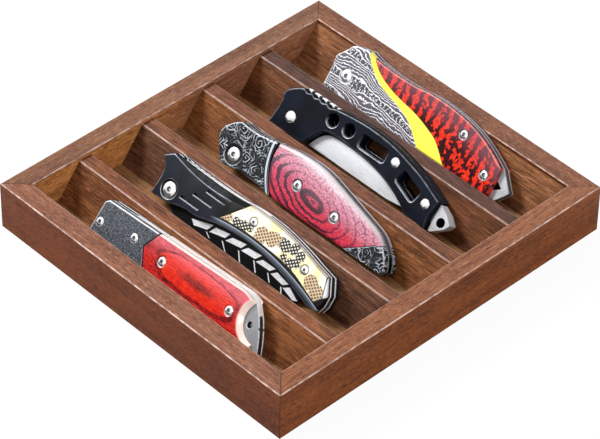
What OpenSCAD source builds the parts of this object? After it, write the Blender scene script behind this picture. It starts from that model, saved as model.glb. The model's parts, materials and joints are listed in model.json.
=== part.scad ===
// Display tray for five folding knives.
// The origin is the middle of the tray's underside, +X runs across the slots,
// +Y along them towards the knives' heads, and +Z is up. Lengths are in millimetres.

/* [Tray] */
// Outside length of the tray along its slots
tray_d = 186.5; // [180:0.5:230]
// Height of the four rails
tray_h = 26.5; // [24:0.5:34]
// Thickness of each rail
rail_t = 10.7; // [8:0.1:16]
// Height of the slot floors above the table
floor_z = 7.7; // [6:0.1:10]
// Thickness of the bottom panel
panel_t = 4.5; // [3:0.1:5.5]
// Depth of the groove in each rail that holds the bottom panel
groove_d = 4; // [2:0.1:5]
// Room left for the bottom panel to swell in its grooves
panel_clear = 0.3; // [0.1:0.1:0.8]
// Width of the small flats that soften the wood's edges
arris = 0.5; // [0.3:0.05:1]

/* [Slots] */
// Opening of slot 1, from the left rail to the first ridge
slot_1_w = 27.7; // [26:0.1:36]
// Opening of slot 2, between the first divider and the second ridge
slot_2_w = 31.2; // [28:0.1:36]
// Opening of slot 3
slot_3_w = 30.4; // [28:0.1:36]
// Opening of slot 4
slot_4_w = 29.6; // [28:0.1:36]
// Opening of slot 5, up to the ridge of the rear ramp
slot_5_w = 29.4; // [28:0.1:36]
// Width of the flat top of each divider
divider_top_w = 7.3; // [5:0.1:10]
// Flat between the rear ramp's ridge and the right rail
rear_flat_w = 1.1; // [1:0.1:3]
// How far the dividers' tops lie below the rails' tops
divider_drop = 1.9; // [1:0.1:4]
// Slope of the ramps from the floor, in degrees
ramp_angle = 51.5; // [49:0.5:56]
// Gap between a resting knife and its ramp
knife_clear = 0.3; // [0.2:0.05:0.5]
// How far a resting knife's lower edge lies up the ramp
seat_rise = 0.15; // [0.1:0.05:0.5]

/* [Knife build] */
// Thickness of a handle cover
cover_t = 2.8; // [2:0.1:3.2]
// Thickness of a steel liner
liner_t = 1; // [0.8:0.05:1.3]
// Thickness of a blade
blade_t = 2.2; // [1.8:0.1:2.8]
// Gap on each side of a blade
blade_gap = 0.1; // [0.05:0.01:0.2]
// Thickness left at a blade's cutting edge
blade_edge_t = 0.4; // [0.3:0.05:0.8]
// Radius of the pivot shafts
pivot_r = 1.9; // [1.6:0.1:2.3]
// Running gap round the pivots and screws
fit_gap = 0.05; // [0.02:0.01:0.09]
// Radius of the screw shanks
screw_r = 1; // [0.8:0.05:1.2]
// Thickness of the screw heads
head_t = 1.2; // [0.8:0.05:1.5]
// How far the screw heads stand above a cover
head_proud = 0.15; // [0:0.05:0.3]
// Depth of the flared ring round a screw head
flare_t = 0.6; // [0.3:0.05:0.7]
// Radius of the covers' rounded edges
cover_edge = 0.9; // [0.5:0.05:1.2]

/* [Knife 1, chevron bolster] */
// Length of the handle
k1_len = 110; // [106:0.5:116]
// Height of the handle at its tail
k1_h = 21.3; // [20.5:0.1:23]
// Height of the handle at its head
k1_head_h = 18.1; // [17.8:0.1:20]
// Gap between the back rail and the handle's head
k1_head_gap = 30; // [12:0.5:34]
// Place of the hidden pivot along the handle
k1_pivot_l = 11.5; // [11:0.1:13]
// Height of the hidden pivot
k1_pivot_s = 9; // [8.6:0.1:9.4]
// Place of the chevron's point along the handle
k1_joint_l = 31.1; // [29:0.1:38]
// Height of the chevron's point
k1_joint_s = 10; // [8:0.1:12]
// Half angle that the chevron's sides lean, in degrees
k1_joint_lean = 29; // [20:1:36]
// Width of the shadow gap behind the chevron
k1_joint_gap = 0.5; // [0.2:0.05:0.8]
// Radius of the bolster and scale screw heads
k1_head_r = 2.1; // [1.8:0.1:2.4]
// Radius of the flared rings round the scale's screws
k1_ring_r = 2.7; // [2.5:0.1:3]
// Radius of the scoop at the scale's end, on its face
k1_scoop_r = 11.8; // [11:0.1:12.4]
// How much narrower the scoop is where it meets the liner
k1_scoop_taper = 1.9; // [1:0.1:2.6]
// Distance from the tail to the lanyard hole
k1_hole_in = 10.6; // [9.5:0.1:11]
// Radius of the lanyard hole
k1_hole_r = 1.6; // [1.2:0.1:2]
// Depth of the spine bar below the top edge
k1_spine_w = 2.8; // [2:0.1:3]

/* [Knife 2, forked head and cream inlay] */
// Length of the handle
k2_len = 114; // [110:0.5:118]
// Greatest height of the handle
k2_h = 23.1; // [22.8:0.1:24.5]
// Gap between the back rail and the handle's head
k2_head_gap = 26.3; // [12:0.5:34]
// Place of the pivot along the handle
k2_pivot_l = 11.7; // [11.2:0.1:12.5]
// Height of the pivot
k2_pivot_s = 6.4; // [6.2:0.1:6.8]
// Radius of the pivot's head
k2_pivot_head_r = 3.6; // [3.2:0.1:3.9]
// Radius of the dished ring round the pivot
k2_pivot_ring_r = 5; // [4.6:0.1:5.4]
// Radius of the inlay's screw heads
k2_head_r = 2; // [1.7:0.1:2.2]
// Radius of the rings round the inlay's screws
k2_ring_r = 2.5; // [2.4:0.1:2.8]
// Thickness of the inlay
k2_inlay_t = 1.6; // [1.3:0.1:1.9]
// Gap round the inlay in its pocket
k2_inlay_gap = 0.1; // [0.05:0.01:0.2]
// Length of each of the three vent slots
k2_vent_l = 12.4; // [10:0.1:13]
// Width of each vent slot
k2_vent_w = 1.2; // [0.8:0.1:1.8]
// Depth of each vent slot
k2_vent_t = 1.2; // [0.6:0.1:1.6]
// Spacing of the thumb teeth
k2_tooth_pitch = 3.8; // [3:0.1:5]
// Radius of the notches between the thumb teeth
k2_notch_r = 1; // [0.6:0.1:1.3]
// How far the folded blade reaches below the handle's lowest edge
k2_blade_drop = 3; // [2:0.1:3.2]
// Depth of the spine bar below the top edge
k2_spine_w = 2.6; // [2.2:0.1:3]

/* [Knife 3, engraved bolsters and ringed scale] */
// Length of the handle
k3_len = 114.8; // [111:0.5:118]
// Greatest height of the handle
k3_h = 25.7; // [25.4:0.1:27]
// Gap between the back rail and the handle's head
k3_head_gap = 27.2; // [12:0.5:34]
// Place of the pivot along the handle
k3_pivot_l = 12.8; // [12.4:0.1:13.4]
// Height of the pivot
k3_pivot_s = 6.8; // [6.6:0.1:7.2]
// Radius of the pivot's head
k3_pivot_head_r = 3.4; // [3:0.1:3.7]
// Radius of the dished ring round the pivot
k3_pivot_ring_r = 5.4; // [5:0.1:5.8]
// Place where the front bolster meets the scale, at the top edge
k3_joint_l = 31.7; // [30:0.1:33]
// Place where the scale meets the tail cap, at the top edge
k3_tail_joint_in = 5.9; // [5:0.1:7]
// Width of the groove beside each bolster
k3_joint_gap = 0.4; // [0.2:0.05:0.8]
// Radius of the scale's screw heads
k3_head_r = 2.3; // [2:0.1:2.5]
// Radius of the rings round the scale's screws
k3_ring_r = 2.9; // [2.7:0.1:3.2]
// Depth of the spine bar below the top edge
k3_spine_w = 2.8; // [2.2:0.1:3.2]
// How much rounder this knife's covers are than the others'
k3_crown = 0.5; // [0:0.05:0.7]

/* [Knife 4, skeleton frame] */
// Length of the handle without its tail plate
k4_len = 104.2; // [101:0.5:107]
// Greatest height of the handle
k4_h = 24.9; // [24.7:0.1:26]
// Gap between the back rail and the handle's head
k4_head_gap = 28.4; // [14:0.5:34]
// Place of the pivot along the handle
k4_pivot_l = 10.7; // [10.2:0.1:11.2]
// Height of the pivot
k4_pivot_s = 7.6; // [7.3:0.1:8]
// Radius of the pivot's domed head
k4_pivot_head_r = 3.2; // [2.8:0.1:3.6]
// Radius of the domed rivets' heads
k4_rivet_head_r = 2.7; // [2.4:0.1:3]
// Height of the domes
k4_dome_t = 1.3; // [0.8:0.1:1.6]
// Radius of the two round holes
k4_hole_r = 3; // [2.5:0.1:3.2]
// Width of the flare round the holes and windows
k4_flare_w = 0.8; // [0.4:0.1:0.9]
// Length of the front window
k4_window_l = 16; // [13:0.1:16.4]
// Height of the front window
k4_window_h = 6; // [4.5:0.1:6.2]
// Tilt of the rear window, in degrees
k4_window_tilt = 19; // [15:1:22]
// Spacing of the scallops along the thumb rest
k4_scallop_pitch = 5; // [4:0.1:6]
// Depth of the scallops
k4_scallop_t = 0.9; // [0.5:0.1:1.2]
// How far the steel thumb rest stands above the scallops
k4_rest_rise = 0.5; // [0.3:0.05:0.8]
// Depth of the back spacer below the top edge
k4_spine_w = 2.2; // [1.8:0.1:2.6]
// How far the tail plate reaches past the frame
k4_plate_out = 9.7; // [8.5:0.1:11]
// Radius of the hole in the tail plate
k4_plate_hole_r = 2.3; // [1.8:0.1:2.5]
// How far the tail plate's thick part stands over the spacer on each side
k4_plate_step = 1.6; // [1:0.1:2]

/* [Knife 5, patterned bolster and stripe] */
// Length of the covers
k5_len = 110.2; // [107:0.5:113]
// Greatest height of the handle
k5_h = 26.5; // [26.2:0.1:27.5]
// Gap between the back rail and the handle's head
k5_head_gap = 25.6; // [12:0.5:34]
// Place of the pivot along the handle
k5_pivot_l = 10.8; // [10.6:0.1:11.4]
// Height of the pivot
k5_pivot_s = 10.2; // [9.8:0.1:10.4]
// Radius of the pivot's head
k5_pivot_head_r = 3.1; // [2.7:0.1:3.3]
// Radius of the ring round the pivot
k5_pivot_ring_r = 3.9; // [3.7:0.1:4.2]
// Radius of the scale's screw heads
k5_head_r = 2.1; // [1.8:0.1:2.3]
// Radius of the rings round the scale's screws
k5_ring_r = 2.6; // [2.5:0.1:2.9]
// How far the steel tail reaches past the covers
k5_tail_out = 8.2; // [7:0.1:9]
// Side of the three-cornered hole in the tail
k5_hole_side = 5; // [3.5:0.1:5.5]
// Depth of the spine bar below the top edge
k5_spine_w = 2.8; // [2.2:0.1:3.2]

/* [Hidden] */
$fn = 48;
// How far a cutting shape reaches past what it cuts
cut = 1;
// Segments in each stretch of a smooth outline
smooth = 3;

slot_w = [slot_1_w, slot_2_w, slot_3_w, slot_4_w, slot_5_w];
slots = len(slot_w);
tray_w = 2 * rail_t + sum(slot_w, slots) + (slots - 1) * divider_top_w + rear_flat_w;
inner_x = tray_w / 2 - rail_t;
inner_y = tray_d / 2 - rail_t;
ridge_z = tray_h - divider_drop;
ramp_run = (ridge_z - floor_z) / tan(ramp_angle);
head_gap = [k1_head_gap, k2_head_gap, k3_head_gap, k4_head_gap, k5_head_gap];

// Heights of the layers in a knife, measured from its back face
liner_n = cover_t;
space_n = liner_n + liner_t;
space_t = blade_t + 2 * blade_gap;
front_liner_n = space_n + space_t;
front_cover_n = front_liner_n + liner_t;
knife_t = front_cover_n + cover_t;

walnut = "#8a5230";
pale_walnut = "#a9764c";
steel = "#c9ccd0";
dark_steel = "#55585e";
black = "#1c1e22";

// Sum of the first n entries of a list
function sum(v, n) = n == 0 ? 0 : v[n - 1] + sum(v, n - 1);
// Place of a slot's ridge, counted from 0
function ridge_x(i) = -inner_x + sum(slot_w, i + 1) + i * divider_top_w;
// Place of the foot of a slot's ramp
function foot_x(i) = ridge_x(i) - ramp_run;
function unit(v) = v / norm(v);
// Arc about a centre, between two angles, in n steps
function arc(c, r, a, b, n) = [for (i = [0 : n]) let (t = a + (b - a) * i / n) c + r * [cos(t), sin(t)]];
// Smooth curve through a list of points
function curve(p) = concat(
    [for (i = [0 : len(p) - 2]) for (j = [0 : smooth - 1])
        let (a = p[max(i - 1, 0)], b = p[i], c = p[i + 1], d = p[min(i + 2, len(p) - 1)], t = j / smooth)
        (2 * b + (c - a) * t + (2 * a - 5 * b + 4 * c - d) * t * t + (3 * b - a - 3 * c + d) * t * t * t) / 2],
    [p[len(p) - 1]]);
// Closed outline drawn in by d on every side
function inset(p, d) = [for (i = [0 : len(p) - 1])
    let (n = len(p), u = unit(p[i] - p[(i + n - 1) % n]), v = unit(p[(i + 1) % n] - p[i]),
        a = [-u[1], u[0]], b = [-v[1], v[0]])
    p[i] + d * (a + b) / (1 + a * b)];
// Points of a line that lie between two places along the handle
function between(p, low, high) = [for (q = p) if (q[0] >= low && q[0] <= high) q];
// Strip of depth w under a line of points
function strip(p, w) = concat(p, [for (i = [len(p) - 1 : -1 : 0]) p[i] - [0, w]]);

// A solid between a stack of outlines, each given as [height, outline]
module loft(rings) {
    n = len(rings[0][1]);
    top = (len(rings) - 1) * n;
    polyhedron(
        points = [for (r = rings) for (q = r[1]) [q[0], q[1], r[0]]],
        faces = concat(
            [[for (i = [0 : n - 1]) i]],
            [for (k = [0 : len(rings) - 2]) for (i = [0 : n - 1])
                let (a = k * n + i, b = k * n + (i + 1) % n)
                each [[a, a + n, b + n], [a, b + n, b]]],
            [[for (i = [n - 1 : -1 : 0]) top + i]]));
}

// A flat plate t thick at height n
module plate(n, t) {
    translate([0, 0, n]) linear_extrude(t) children();
}

// What is cut off round a plate's upper edge, to round it
module rim_cut(outline, edge) {
    knee = 0.3 * edge;
    over = 0.05;
    profile = [
        [-over, -edge - over * (edge - knee) / knee],
        [knee, -knee],
        [edge + over * (edge - knee) / knee, over],
        [-3 * over, over]];
    n = len(outline);
    k = len(profile);
    polyhedron(
        points = [for (q = profile) for (p = inset(outline, q[0])) [p[0], p[1], q[1]]],
        faces = [for (j = [0 : k - 1]) for (i = [0 : n - 1])
            let (a = j * n + i, b = j * n + (i + 1) % n, c = (j + 1) % k * n + (i + 1) % n, d = (j + 1) % k * n + i)
            [a, b, c, d]]);
}

// A front cover with a rounded outer edge
module cover(outline, edge, n = front_cover_n, t = cover_t) {
    difference() {
        plate(n, t) polygon(outline);
        translate([0, 0, n + t]) rim_cut(outline, edge);
    }
}

// The same piece on the other side of the knife
module other_side() {
    translate([0, 0, knife_t]) mirror([0, 0, 1]) children();
}

// Cuts that let a headed screw or pivot through a front cover
module head_holes(places, shank_r, head_r, ring_r) {
    for (p = places) translate([p[0], p[1], 0]) {
        translate([0, 0, front_liner_n - cut]) cylinder(r = shank_r + fit_gap, h = knife_t - front_liner_n + 2 * cut);
        translate([0, 0, knife_t - head_t]) cylinder(r = head_r + fit_gap, h = head_t + cut);
        translate([0, 0, knife_t - flare_t]) cylinder(r1 = head_r + fit_gap, r2 = ring_r, h = flare_t);
        translate([0, 0, knife_t]) cylinder(r = ring_r, h = cut);
    }
}

// Cuts for shanks through a liner
module shank_holes(places, r) {
    for (p = places) translate([p[0], p[1], -cut]) cylinder(r = r + fit_gap, h = knife_t + 2 * cut);
}

// Short screws that hold the covers to the liners, on both sides
module cover_screws(places, head_r) {
    for (p = places) translate([p[0], p[1], 0]) {
        front_screw(head_r);
        other_side() back_screw(head_r);
    }
}

module front_screw(head_r) {
    translate([0, 0, front_liner_n]) cylinder(r = screw_r, h = knife_t - head_t - front_liner_n);
    translate([0, 0, knife_t - head_t]) cylinder(r = head_r, h = head_t + head_proud);
}

// A screw on the side that lies against the ramp has its head flush
module back_screw(head_r) {
    translate([0, 0, front_liner_n]) cylinder(r = screw_r, h = knife_t - head_t - front_liner_n);
    translate([0, 0, knife_t - head_t]) cylinder(r = head_r, h = head_t);
}

// A pivot with a head in each cover
module pivot(p, head_r) {
    translate([p[0], p[1], 0]) {
        cylinder(r = head_r, h = head_t);
        cylinder(r = pivot_r, h = knife_t);
        translate([0, 0, knife_t - head_t]) cylinder(r = head_r, h = head_t + head_proud);
    }
}

// A folded blade: its back lies along back_s, or on a line of its own, and its cutting edge along edge_s
module blade(p, tip, back_s, edge_s, back = []) {
    tang_r = p[1] - back_s;
    shoulder_l = p[0] + 12;
    grind_s = back_s + 0.45 * (edge_s - back_s);
    grind_t = (blade_t - blade_edge_t) / 2;
    outline = concat(
        len(back) > 0 ? back : [[p[0], back_s], [tip[0] - 16, back_s], [tip[0] - 5, back_s + 1.2]],
        curve([tip, tip + [-7, 0.5 * (edge_s - tip[1])], tip + [-17, 0.86 * (edge_s - tip[1])],
            [tip[0] - 30, edge_s]]),
        [[shoulder_l + 1.5, edge_s], [shoulder_l + 1, edge_s - 1.8], [shoulder_l - 0.5, edge_s - 1.8]],
        arc(p, tang_r, 60, 262, 16));
    difference() {
        plate(space_n + blade_gap, blade_t) polygon(outline);
        translate([p[0], p[1], 0]) cylinder(r = pivot_r + fit_gap, h = knife_t);
        for (side = [0, 1]) translate([0, 0, knife_t / 2]) mirror([0, 0, side])
            translate([shoulder_l + 3, 0, 0]) rotate([90, 0, 90]) linear_extrude(tip[0])
                polygon([[grind_s, blade_t / 2], [edge_s, blade_t / 2 - grind_t],
                    [edge_s + cut, blade_t / 2 - grind_t], [edge_s + cut, blade_t], [grind_s, blade_t]]);
    }
}

// Puts a knife's piece into its slot: l runs from head to tail, s up the ramp
module in_slot(i) {
    translate([foot_x(i), inner_y - head_gap[i], floor_z])
        rotate([0, -ramp_angle, 0]) rotate([0, 0, -90]) translate([0, seat_rise, knife_clear]) children();
}

// The tray

// A mitred rail along X, with its outer face at y = 0 and its inner face towards +Y
module rail(length) {
    groove_z = floor_z - panel_t;
    color(walnut) intersection() {
        rotate([90, 0, 90]) linear_extrude(length, center = true)
            polygon([[arris, 0], [rail_t, 0], [rail_t, groove_z], [rail_t - groove_d, groove_z],
                [rail_t - groove_d, floor_z], [rail_t, floor_z], [rail_t, tray_h - arris],
                [rail_t - arris, tray_h], [arris, tray_h], [0, tray_h - arris], [0, arris]]);
        linear_extrude(tray_h)
            polygon([[-length / 2, 0], [length / 2, 0], [length / 2 - rail_t, rail_t], [rail_t - length / 2, rail_t]]);
    }
}

module rail_front() { translate([0, -tray_d / 2, 0]) rail(tray_w); }
module rail_back() { rotate(180) translate([0, -tray_d / 2, 0]) rail(tray_w); }
module rail_left() { rotate(-90) translate([0, -tray_w / 2, 0]) rail(tray_d); }
module rail_right() { rotate(90) translate([0, -tray_w / 2, 0]) rail(tray_d); }

module bottom_panel() {
    reach = groove_d - panel_clear;
    color(pale_walnut) translate([-inner_x - reach, -inner_y - reach, floor_z - panel_t])
        cube([2 * (inner_x + reach), 2 * (inner_y + reach), panel_t]);
}

// A strip along Y with a given section
module strip_along_y(section) {
    translate([0, inner_y, 0]) rotate([90, 0, 0]) linear_extrude(2 * inner_y) polygon(section);
}

// A divider: a ramp up to its ridge, a flat top and an upright back
module divider(i) {
    back_x = ridge_x(i) + divider_top_w;
    ramp_dir = [cos(ramp_angle), sin(ramp_angle)];
    color(walnut) strip_along_y([
        [foot_x(i), floor_z], [back_x, floor_z], [back_x, ridge_z - arris], [back_x - arris, ridge_z],
        [ridge_x(i) + arris, ridge_z], [ridge_x(i), ridge_z] - arris * ramp_dir]);
}

// The fifth ramp, glued to the right rail
module rear_ramp() {
    color(walnut) strip_along_y([
        [foot_x(slots - 1), floor_z], [inner_x, floor_z], [inner_x, ridge_z], [ridge_x(slots - 1), ridge_z]]);
}

// Knife 1: straight handle, stonewashed bolster with a chevron joint, red scale

k1_pivot = [k1_pivot_l, k1_pivot_s];
k1_bolster_screws = [[3.7, 7], [24.8, 10.4]];
k1_scale_screws = [[k1_joint_l + 13.1, 9.3], [k1_len - 21.9, 9.8]];
k1_scoop = [k1_len - 4.6, 12.7];
k1_hole = [k1_len - k1_hole_in, 9.3];
k1_tail = curve([
    [k1_len - 0.6, 1.6], [k1_len - 3.5, 7.5], [k1_len - 7, 13], [k1_len - 9.7, 16.2],
    [k1_len - 13.6, k1_h - 1.5], [k1_len - 19.5, k1_h]]);
k1_outline = concat([[0, 0], [k1_len, 0]], k1_tail, [[3.2, k1_head_h], [0.9, k1_head_h - 2]]);
k1_spine_l = 18;
k1_spine_s = k1_head_h + (k1_h - k1_head_h) * (k1_spine_l - 3.2) / (k1_len - 22.7);
k1_spine = concat(
    between(k1_tail, 60, k1_len - 8.5), [[k1_spine_l, k1_spine_s], [k1_spine_l, k1_spine_s - k1_spine_w]],
    [[k1_len - 19.6, k1_h - k1_spine_w], [k1_len - 15, k1_h - k1_spine_w - 1.1],
        [k1_len - 11.8, 14.1], [k1_len - 10.6, 12.7]]);

// Everything on the head's side of the chevron, moved by d towards the tail
module k1_chevron(d) {
    low = (k1_joint_s + cut) * tan(k1_joint_lean);
    high = (k1_h + cut - k1_joint_s) * tan(k1_joint_lean);
    plate(-cut, knife_t + 2 * cut) polygon([
        [-cut, -cut], [k1_joint_l + low + d, -cut], [k1_joint_l + d, k1_joint_s],
        [k1_joint_l + high + d, k1_h + cut], [-cut, k1_h + cut]]);
}

module k1_bolster() {
    color(dark_steel) difference() {
        intersection() {
            cover(k1_outline, cover_edge);
            k1_chevron(0);
        }
        head_holes(k1_bolster_screws, screw_r, k1_head_r, k1_head_r + fit_gap);
    }
}

module k1_scale() {
    color("#c8281e") difference() {
        cover(k1_outline, cover_edge);
        k1_chevron(k1_joint_gap);
        head_holes(k1_scale_screws, screw_r, k1_head_r, k1_ring_r);
        translate([k1_scoop[0], k1_scoop[1], front_cover_n])
            cylinder(r1 = k1_scoop_r - k1_scoop_taper, r2 = k1_scoop_r, h = cover_t, $fn = 96);
        translate([k1_scoop[0], k1_scoop[1] - k1_scoop_r, front_cover_n]) cube([k1_len, 2 * k1_scoop_r, cover_t]);
        translate([k1_scoop[0], -cut, front_cover_n]) cube([k1_len, k1_h, cover_t]);
    }
}

module k1_liner() {
    color(steel) difference() {
        plate(front_liner_n, liner_t) polygon(k1_outline);
        shank_holes(concat(k1_bolster_screws, k1_scale_screws), screw_r);
        shank_holes([k1_pivot], pivot_r);
        shank_holes([k1_hole], k1_hole_r - fit_gap);
    }
}

module k1_spine_bar() { color(steel) plate(space_n, space_t) polygon(k1_spine); }
module k1_blade() { color(steel) blade(k1_pivot, [k1_len - 12.5, 5], 1, 13.6); }
module k1_pivot_pin() {
    color(steel) translate([k1_pivot[0], k1_pivot[1], liner_n]) cylinder(r = pivot_r, h = knife_t - 2 * liner_n);
}
module k1_screws() { color("#e8e8ea") cover_screws(concat(k1_bolster_screws, k1_scale_screws), k1_head_r); }

// Knife 2: black frame with a forked head, vent slots and a cream inlay

k2_pivot = [k2_pivot_l, k2_pivot_s];
k2_inlay_screws = [[61.3, k2_h - 6], [k2_len - 16.8, 13]];
k2_top = curve([
    [k2_len - 4.2, 16.6], [k2_len - 12.7, 18.2], [k2_len - 21.6, k2_h - 2.9], [k2_len - 36, k2_h - 0.6],
    [66, k2_h], [57, k2_h - 0.2], [49, k2_h - 1.2], [38, k2_h - 1.7], [27, k2_h - 1.8],
    [16, k2_h - 1.6], [5.4, k2_h - 1]]);
k2_head = curve([[0, 18.6], [2.6, 15], [3.8, 11], [3.5, 5.5], [2.8, 0]]);
k2_belly = curve([
    [14, 0.2], [18, 1.6], [24, 2.8], [32, 3.3], [43.6, 6], [54.7, 7.5], [66, 8], [77, 7],
    [k2_len - 26, 5], [k2_len - 15, 2.2], [k2_len - 7.7, 0]]);
k2_outline = concat(k2_belly, [[k2_len - 1.4, 0.3], [k2_len, 4], [k2_len, 9.4]], k2_top, k2_head);
k2_inlay_outline = concat(
    curve([[43.6, 9.6], [60, 11.1], [72, 10.8], [83, 10.2], [k2_len - 20, 8.4], [k2_len - 11.5, 5.5],
        [k2_len - 4.9, 3.4]]),
    [[k2_len + 1, 9.4], [k2_len - 3, k2_h + 1], [57.2, k2_h + 1]]);

module k2_inlay_block(grow, n, t) {
    translate([0, 0, n]) linear_extrude(t) polygon(inset(k2_inlay_outline, -grow));
}

module k2_frame() {
    color(black) difference() {
        cover(k2_outline, cover_edge);
        k2_inlay_block(k2_inlay_gap, knife_t - k2_inlay_t, k2_inlay_t + cut);
        head_holes([k2_pivot], pivot_r, k2_pivot_head_r, k2_pivot_ring_r);
        shank_holes(k2_inlay_screws, screw_r);
        k2_vents();
    }
}

module k2_back_frame() {
    color(black) other_side() difference() {
        cover(k2_outline, cover_edge);
        head_holes([k2_pivot], pivot_r, k2_pivot_head_r, k2_pivot_ring_r);
        head_holes(k2_inlay_screws, screw_r, k2_head_r, k2_ring_r);
        k2_vents();
    }
}

// Three slots that step towards the head as they go down
module k2_vents() {
    for (i = [0 : 2]) translate([18.9 + 5.9 * i, 7 + 4.65 * i, knife_t - k2_vent_t])
        linear_extrude(k2_vent_t + cut) polygon(concat(
            arc([k2_vent_l - k2_vent_w / 2, 0], k2_vent_w / 2, -90, 90, 6),
            arc([k2_vent_w / 2, 0], k2_vent_w / 2, 90, 270, 6)));
}

module k2_inlay() {
    color("#efe6b4") difference() {
        intersection() {
            cover(k2_outline, cover_edge);
            k2_inlay_block(0, knife_t - k2_inlay_t, k2_inlay_t + cut);
        }
        head_holes(k2_inlay_screws, screw_r, k2_head_r, k2_ring_r);
    }
}

module k2_liner() {
    color(steel) difference() {
        plate(front_liner_n, liner_t) polygon(k2_outline);
        shank_holes(k2_inlay_screws, screw_r);
        shank_holes([k2_pivot], pivot_r);
        k2_notches();
    }
}

// Notches across the top edge where a thumb rests
module k2_notches() {
    for (i = [0 : 5]) translate([9.5 + k2_tooth_pitch * i, k2_h - 1.2, space_n - liner_t - cut])
        cylinder(r = k2_notch_r, h = space_t + 2 * liner_t + 2 * cut);
}

module k2_spine_bar() {
    color(steel) difference() {
        union() {
            plate(space_n, space_t) polygon(strip(between(k2_top, 9, k2_len - 4), k2_spine_w));
            plate(space_n, space_t) polygon([
                [k2_len - 4.2, 16.6], [k2_len - 8, 17.3], [k2_len - 8, 9], [k2_len - 4, 7], [k2_len, 7], [k2_len, 9.4]]);
        }
        k2_notches();
    }
}

module k2_blade() {
    tip = [k2_len - 13, 5.5];
    back_s = 0.6;
    color(black) blade(k2_pivot, tip, back_s, 14.4, concat(
        [[k2_pivot_l, back_s]],
        curve([[k2_pivot_l + 2, back_s - 1.2], [k2_pivot_l + 4.8, -k2_blade_drop + 0.5],
            [k2_pivot_l + 9, -k2_blade_drop], [tip[0] - 9, 0.1 - k2_blade_drop], [tip[0] - 3, 0.6 - k2_blade_drop]]),
        [[tip[0] - 0.4, 1.2]]));
}
module k2_pivot_screw() { color("#e8e8ea") pivot(k2_pivot, k2_pivot_head_r); }
module k2_screws() { color("#e8e8ea") cover_screws(k2_inlay_screws, k2_head_r); }

// Knife 3: engraved bolster and tail cap, ringed scale between them

k3_pivot = [k3_pivot_l, k3_pivot_s];
k3_scale_screws = [[52.2, 12.2], [k3_len - 36.8, 9.9]];
k3_edge = cover_edge + k3_crown;
k3_top = curve([
    [k3_len, 2.5], [k3_len - 1.2, 5.8], [k3_len - 4, 9.7], [k3_len - 7.5, 12.7], [k3_len - 13.1, 16],
    [k3_len - 24.2, k3_h - 6.9], [k3_len - 38.7, k3_h - 3.5], [62.8, k3_h - 0.6], [52.8, k3_h],
    [42.8, k3_h - 0.6], [33.9, k3_h - 2], [22, k3_h - 3.8], [15, k3_h - 4.1], [8.9, k3_h - 3.6]]);
k3_head = [[5, 19.8], [1.1, 16], [0, 12.6], [0.6, 9.6], [3, 5.6], [6.7, 1]];
k3_belly = curve([[8, 0.2], [14, 0.3], [18, 1.6], [23, 2.7], [29, 2.6], [35, 0.9], [40, 0]]);
k3_outline = concat(k3_belly, [[k3_len - 2, 0.2]], k3_top, k3_head);
k3_joint = curve([
    [k3_joint_l + 11.4, -cut], [k3_joint_l + 7.7, 2.5], [k3_joint_l + 3.9, 8], [k3_joint_l + 1.1, 13.6],
    [k3_joint_l + 0.3, 19.2], [k3_joint_l, k3_h + cut]]);
k3_tail_joint = curve([
    [k3_len - 27.3, -cut], [k3_len - 18.7, 4.5], [k3_len - 10.9, 9.7], [k3_len - k3_tail_joint_in, 13],
    [k3_len - k3_tail_joint_in + 2, k3_h]]);

// Everything on the head's side of the front joint
module k3_head_side(d) {
    plate(-cut, knife_t + 2 * cut) polygon(concat(
        [for (q = k3_joint) q + [d, 0]], [[-cut, k3_h + cut], [-cut, -cut]]));
}

// Everything on the tail's side of the rear joint
module k3_tail_side(d) {
    plate(-cut, knife_t + 2 * cut) polygon(concat(
        [for (q = k3_tail_joint) q - [d, 0]], [[k3_len + cut, k3_h], [k3_len + cut, -cut]]));
}

module k3_bolster() {
    color("#9aa0a4") difference() {
        intersection() {
            cover(k3_outline, cover_edge);
            k3_head_side(0);
        }
        head_holes([k3_pivot], pivot_r, k3_pivot_head_r, k3_pivot_ring_r);
    }
}

module k3_tail_cap() {
    color("#9aa0a4") intersection() {
        cover(k3_outline, cover_edge);
        k3_tail_side(0);
    }
}

module k3_scale() {
    color("#b8404e") difference() {
        cover(k3_outline, k3_edge);
        k3_head_side(k3_joint_gap);
        k3_tail_side(k3_joint_gap);
        head_holes(k3_scale_screws, screw_r, k3_head_r, k3_ring_r);
    }
}

module k3_liner() {
    color(steel) difference() {
        plate(front_liner_n, liner_t) polygon(k3_outline);
        shank_holes(k3_scale_screws, screw_r);
        shank_holes([k3_pivot], pivot_r);
    }
}

module k3_spine_bar() {
    color(steel) plate(space_n, space_t) polygon(strip(between(k3_top, 22, k3_len - 4), k3_spine_w));
}

module k3_blade() { color(steel) blade(k3_pivot, [k3_len - 14, 5], 0.7, 15); }
module k3_pivot_screw() { color("#e8e8ea") pivot(k3_pivot, k3_pivot_head_r); }
module k3_screws() { color("#e8e8ea") cover_screws(k3_scale_screws, k3_head_r); }

// Knife 4: skeleton frame with holes and windows, bright blade, tail plate

k4_frame_t = cover_t + liner_t;
k4_pivot = [k4_pivot_l, k4_pivot_s];
k4_rivets = [[73.7, 17.9], [k4_len - 5.9, 9.9]];
k4_holes = [[32.3, 17.6], [42.8, 18]];
k4_rest_low = 10;
k4_rest_high = k4_rest_low + 4 * k4_scallop_pitch;
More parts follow.
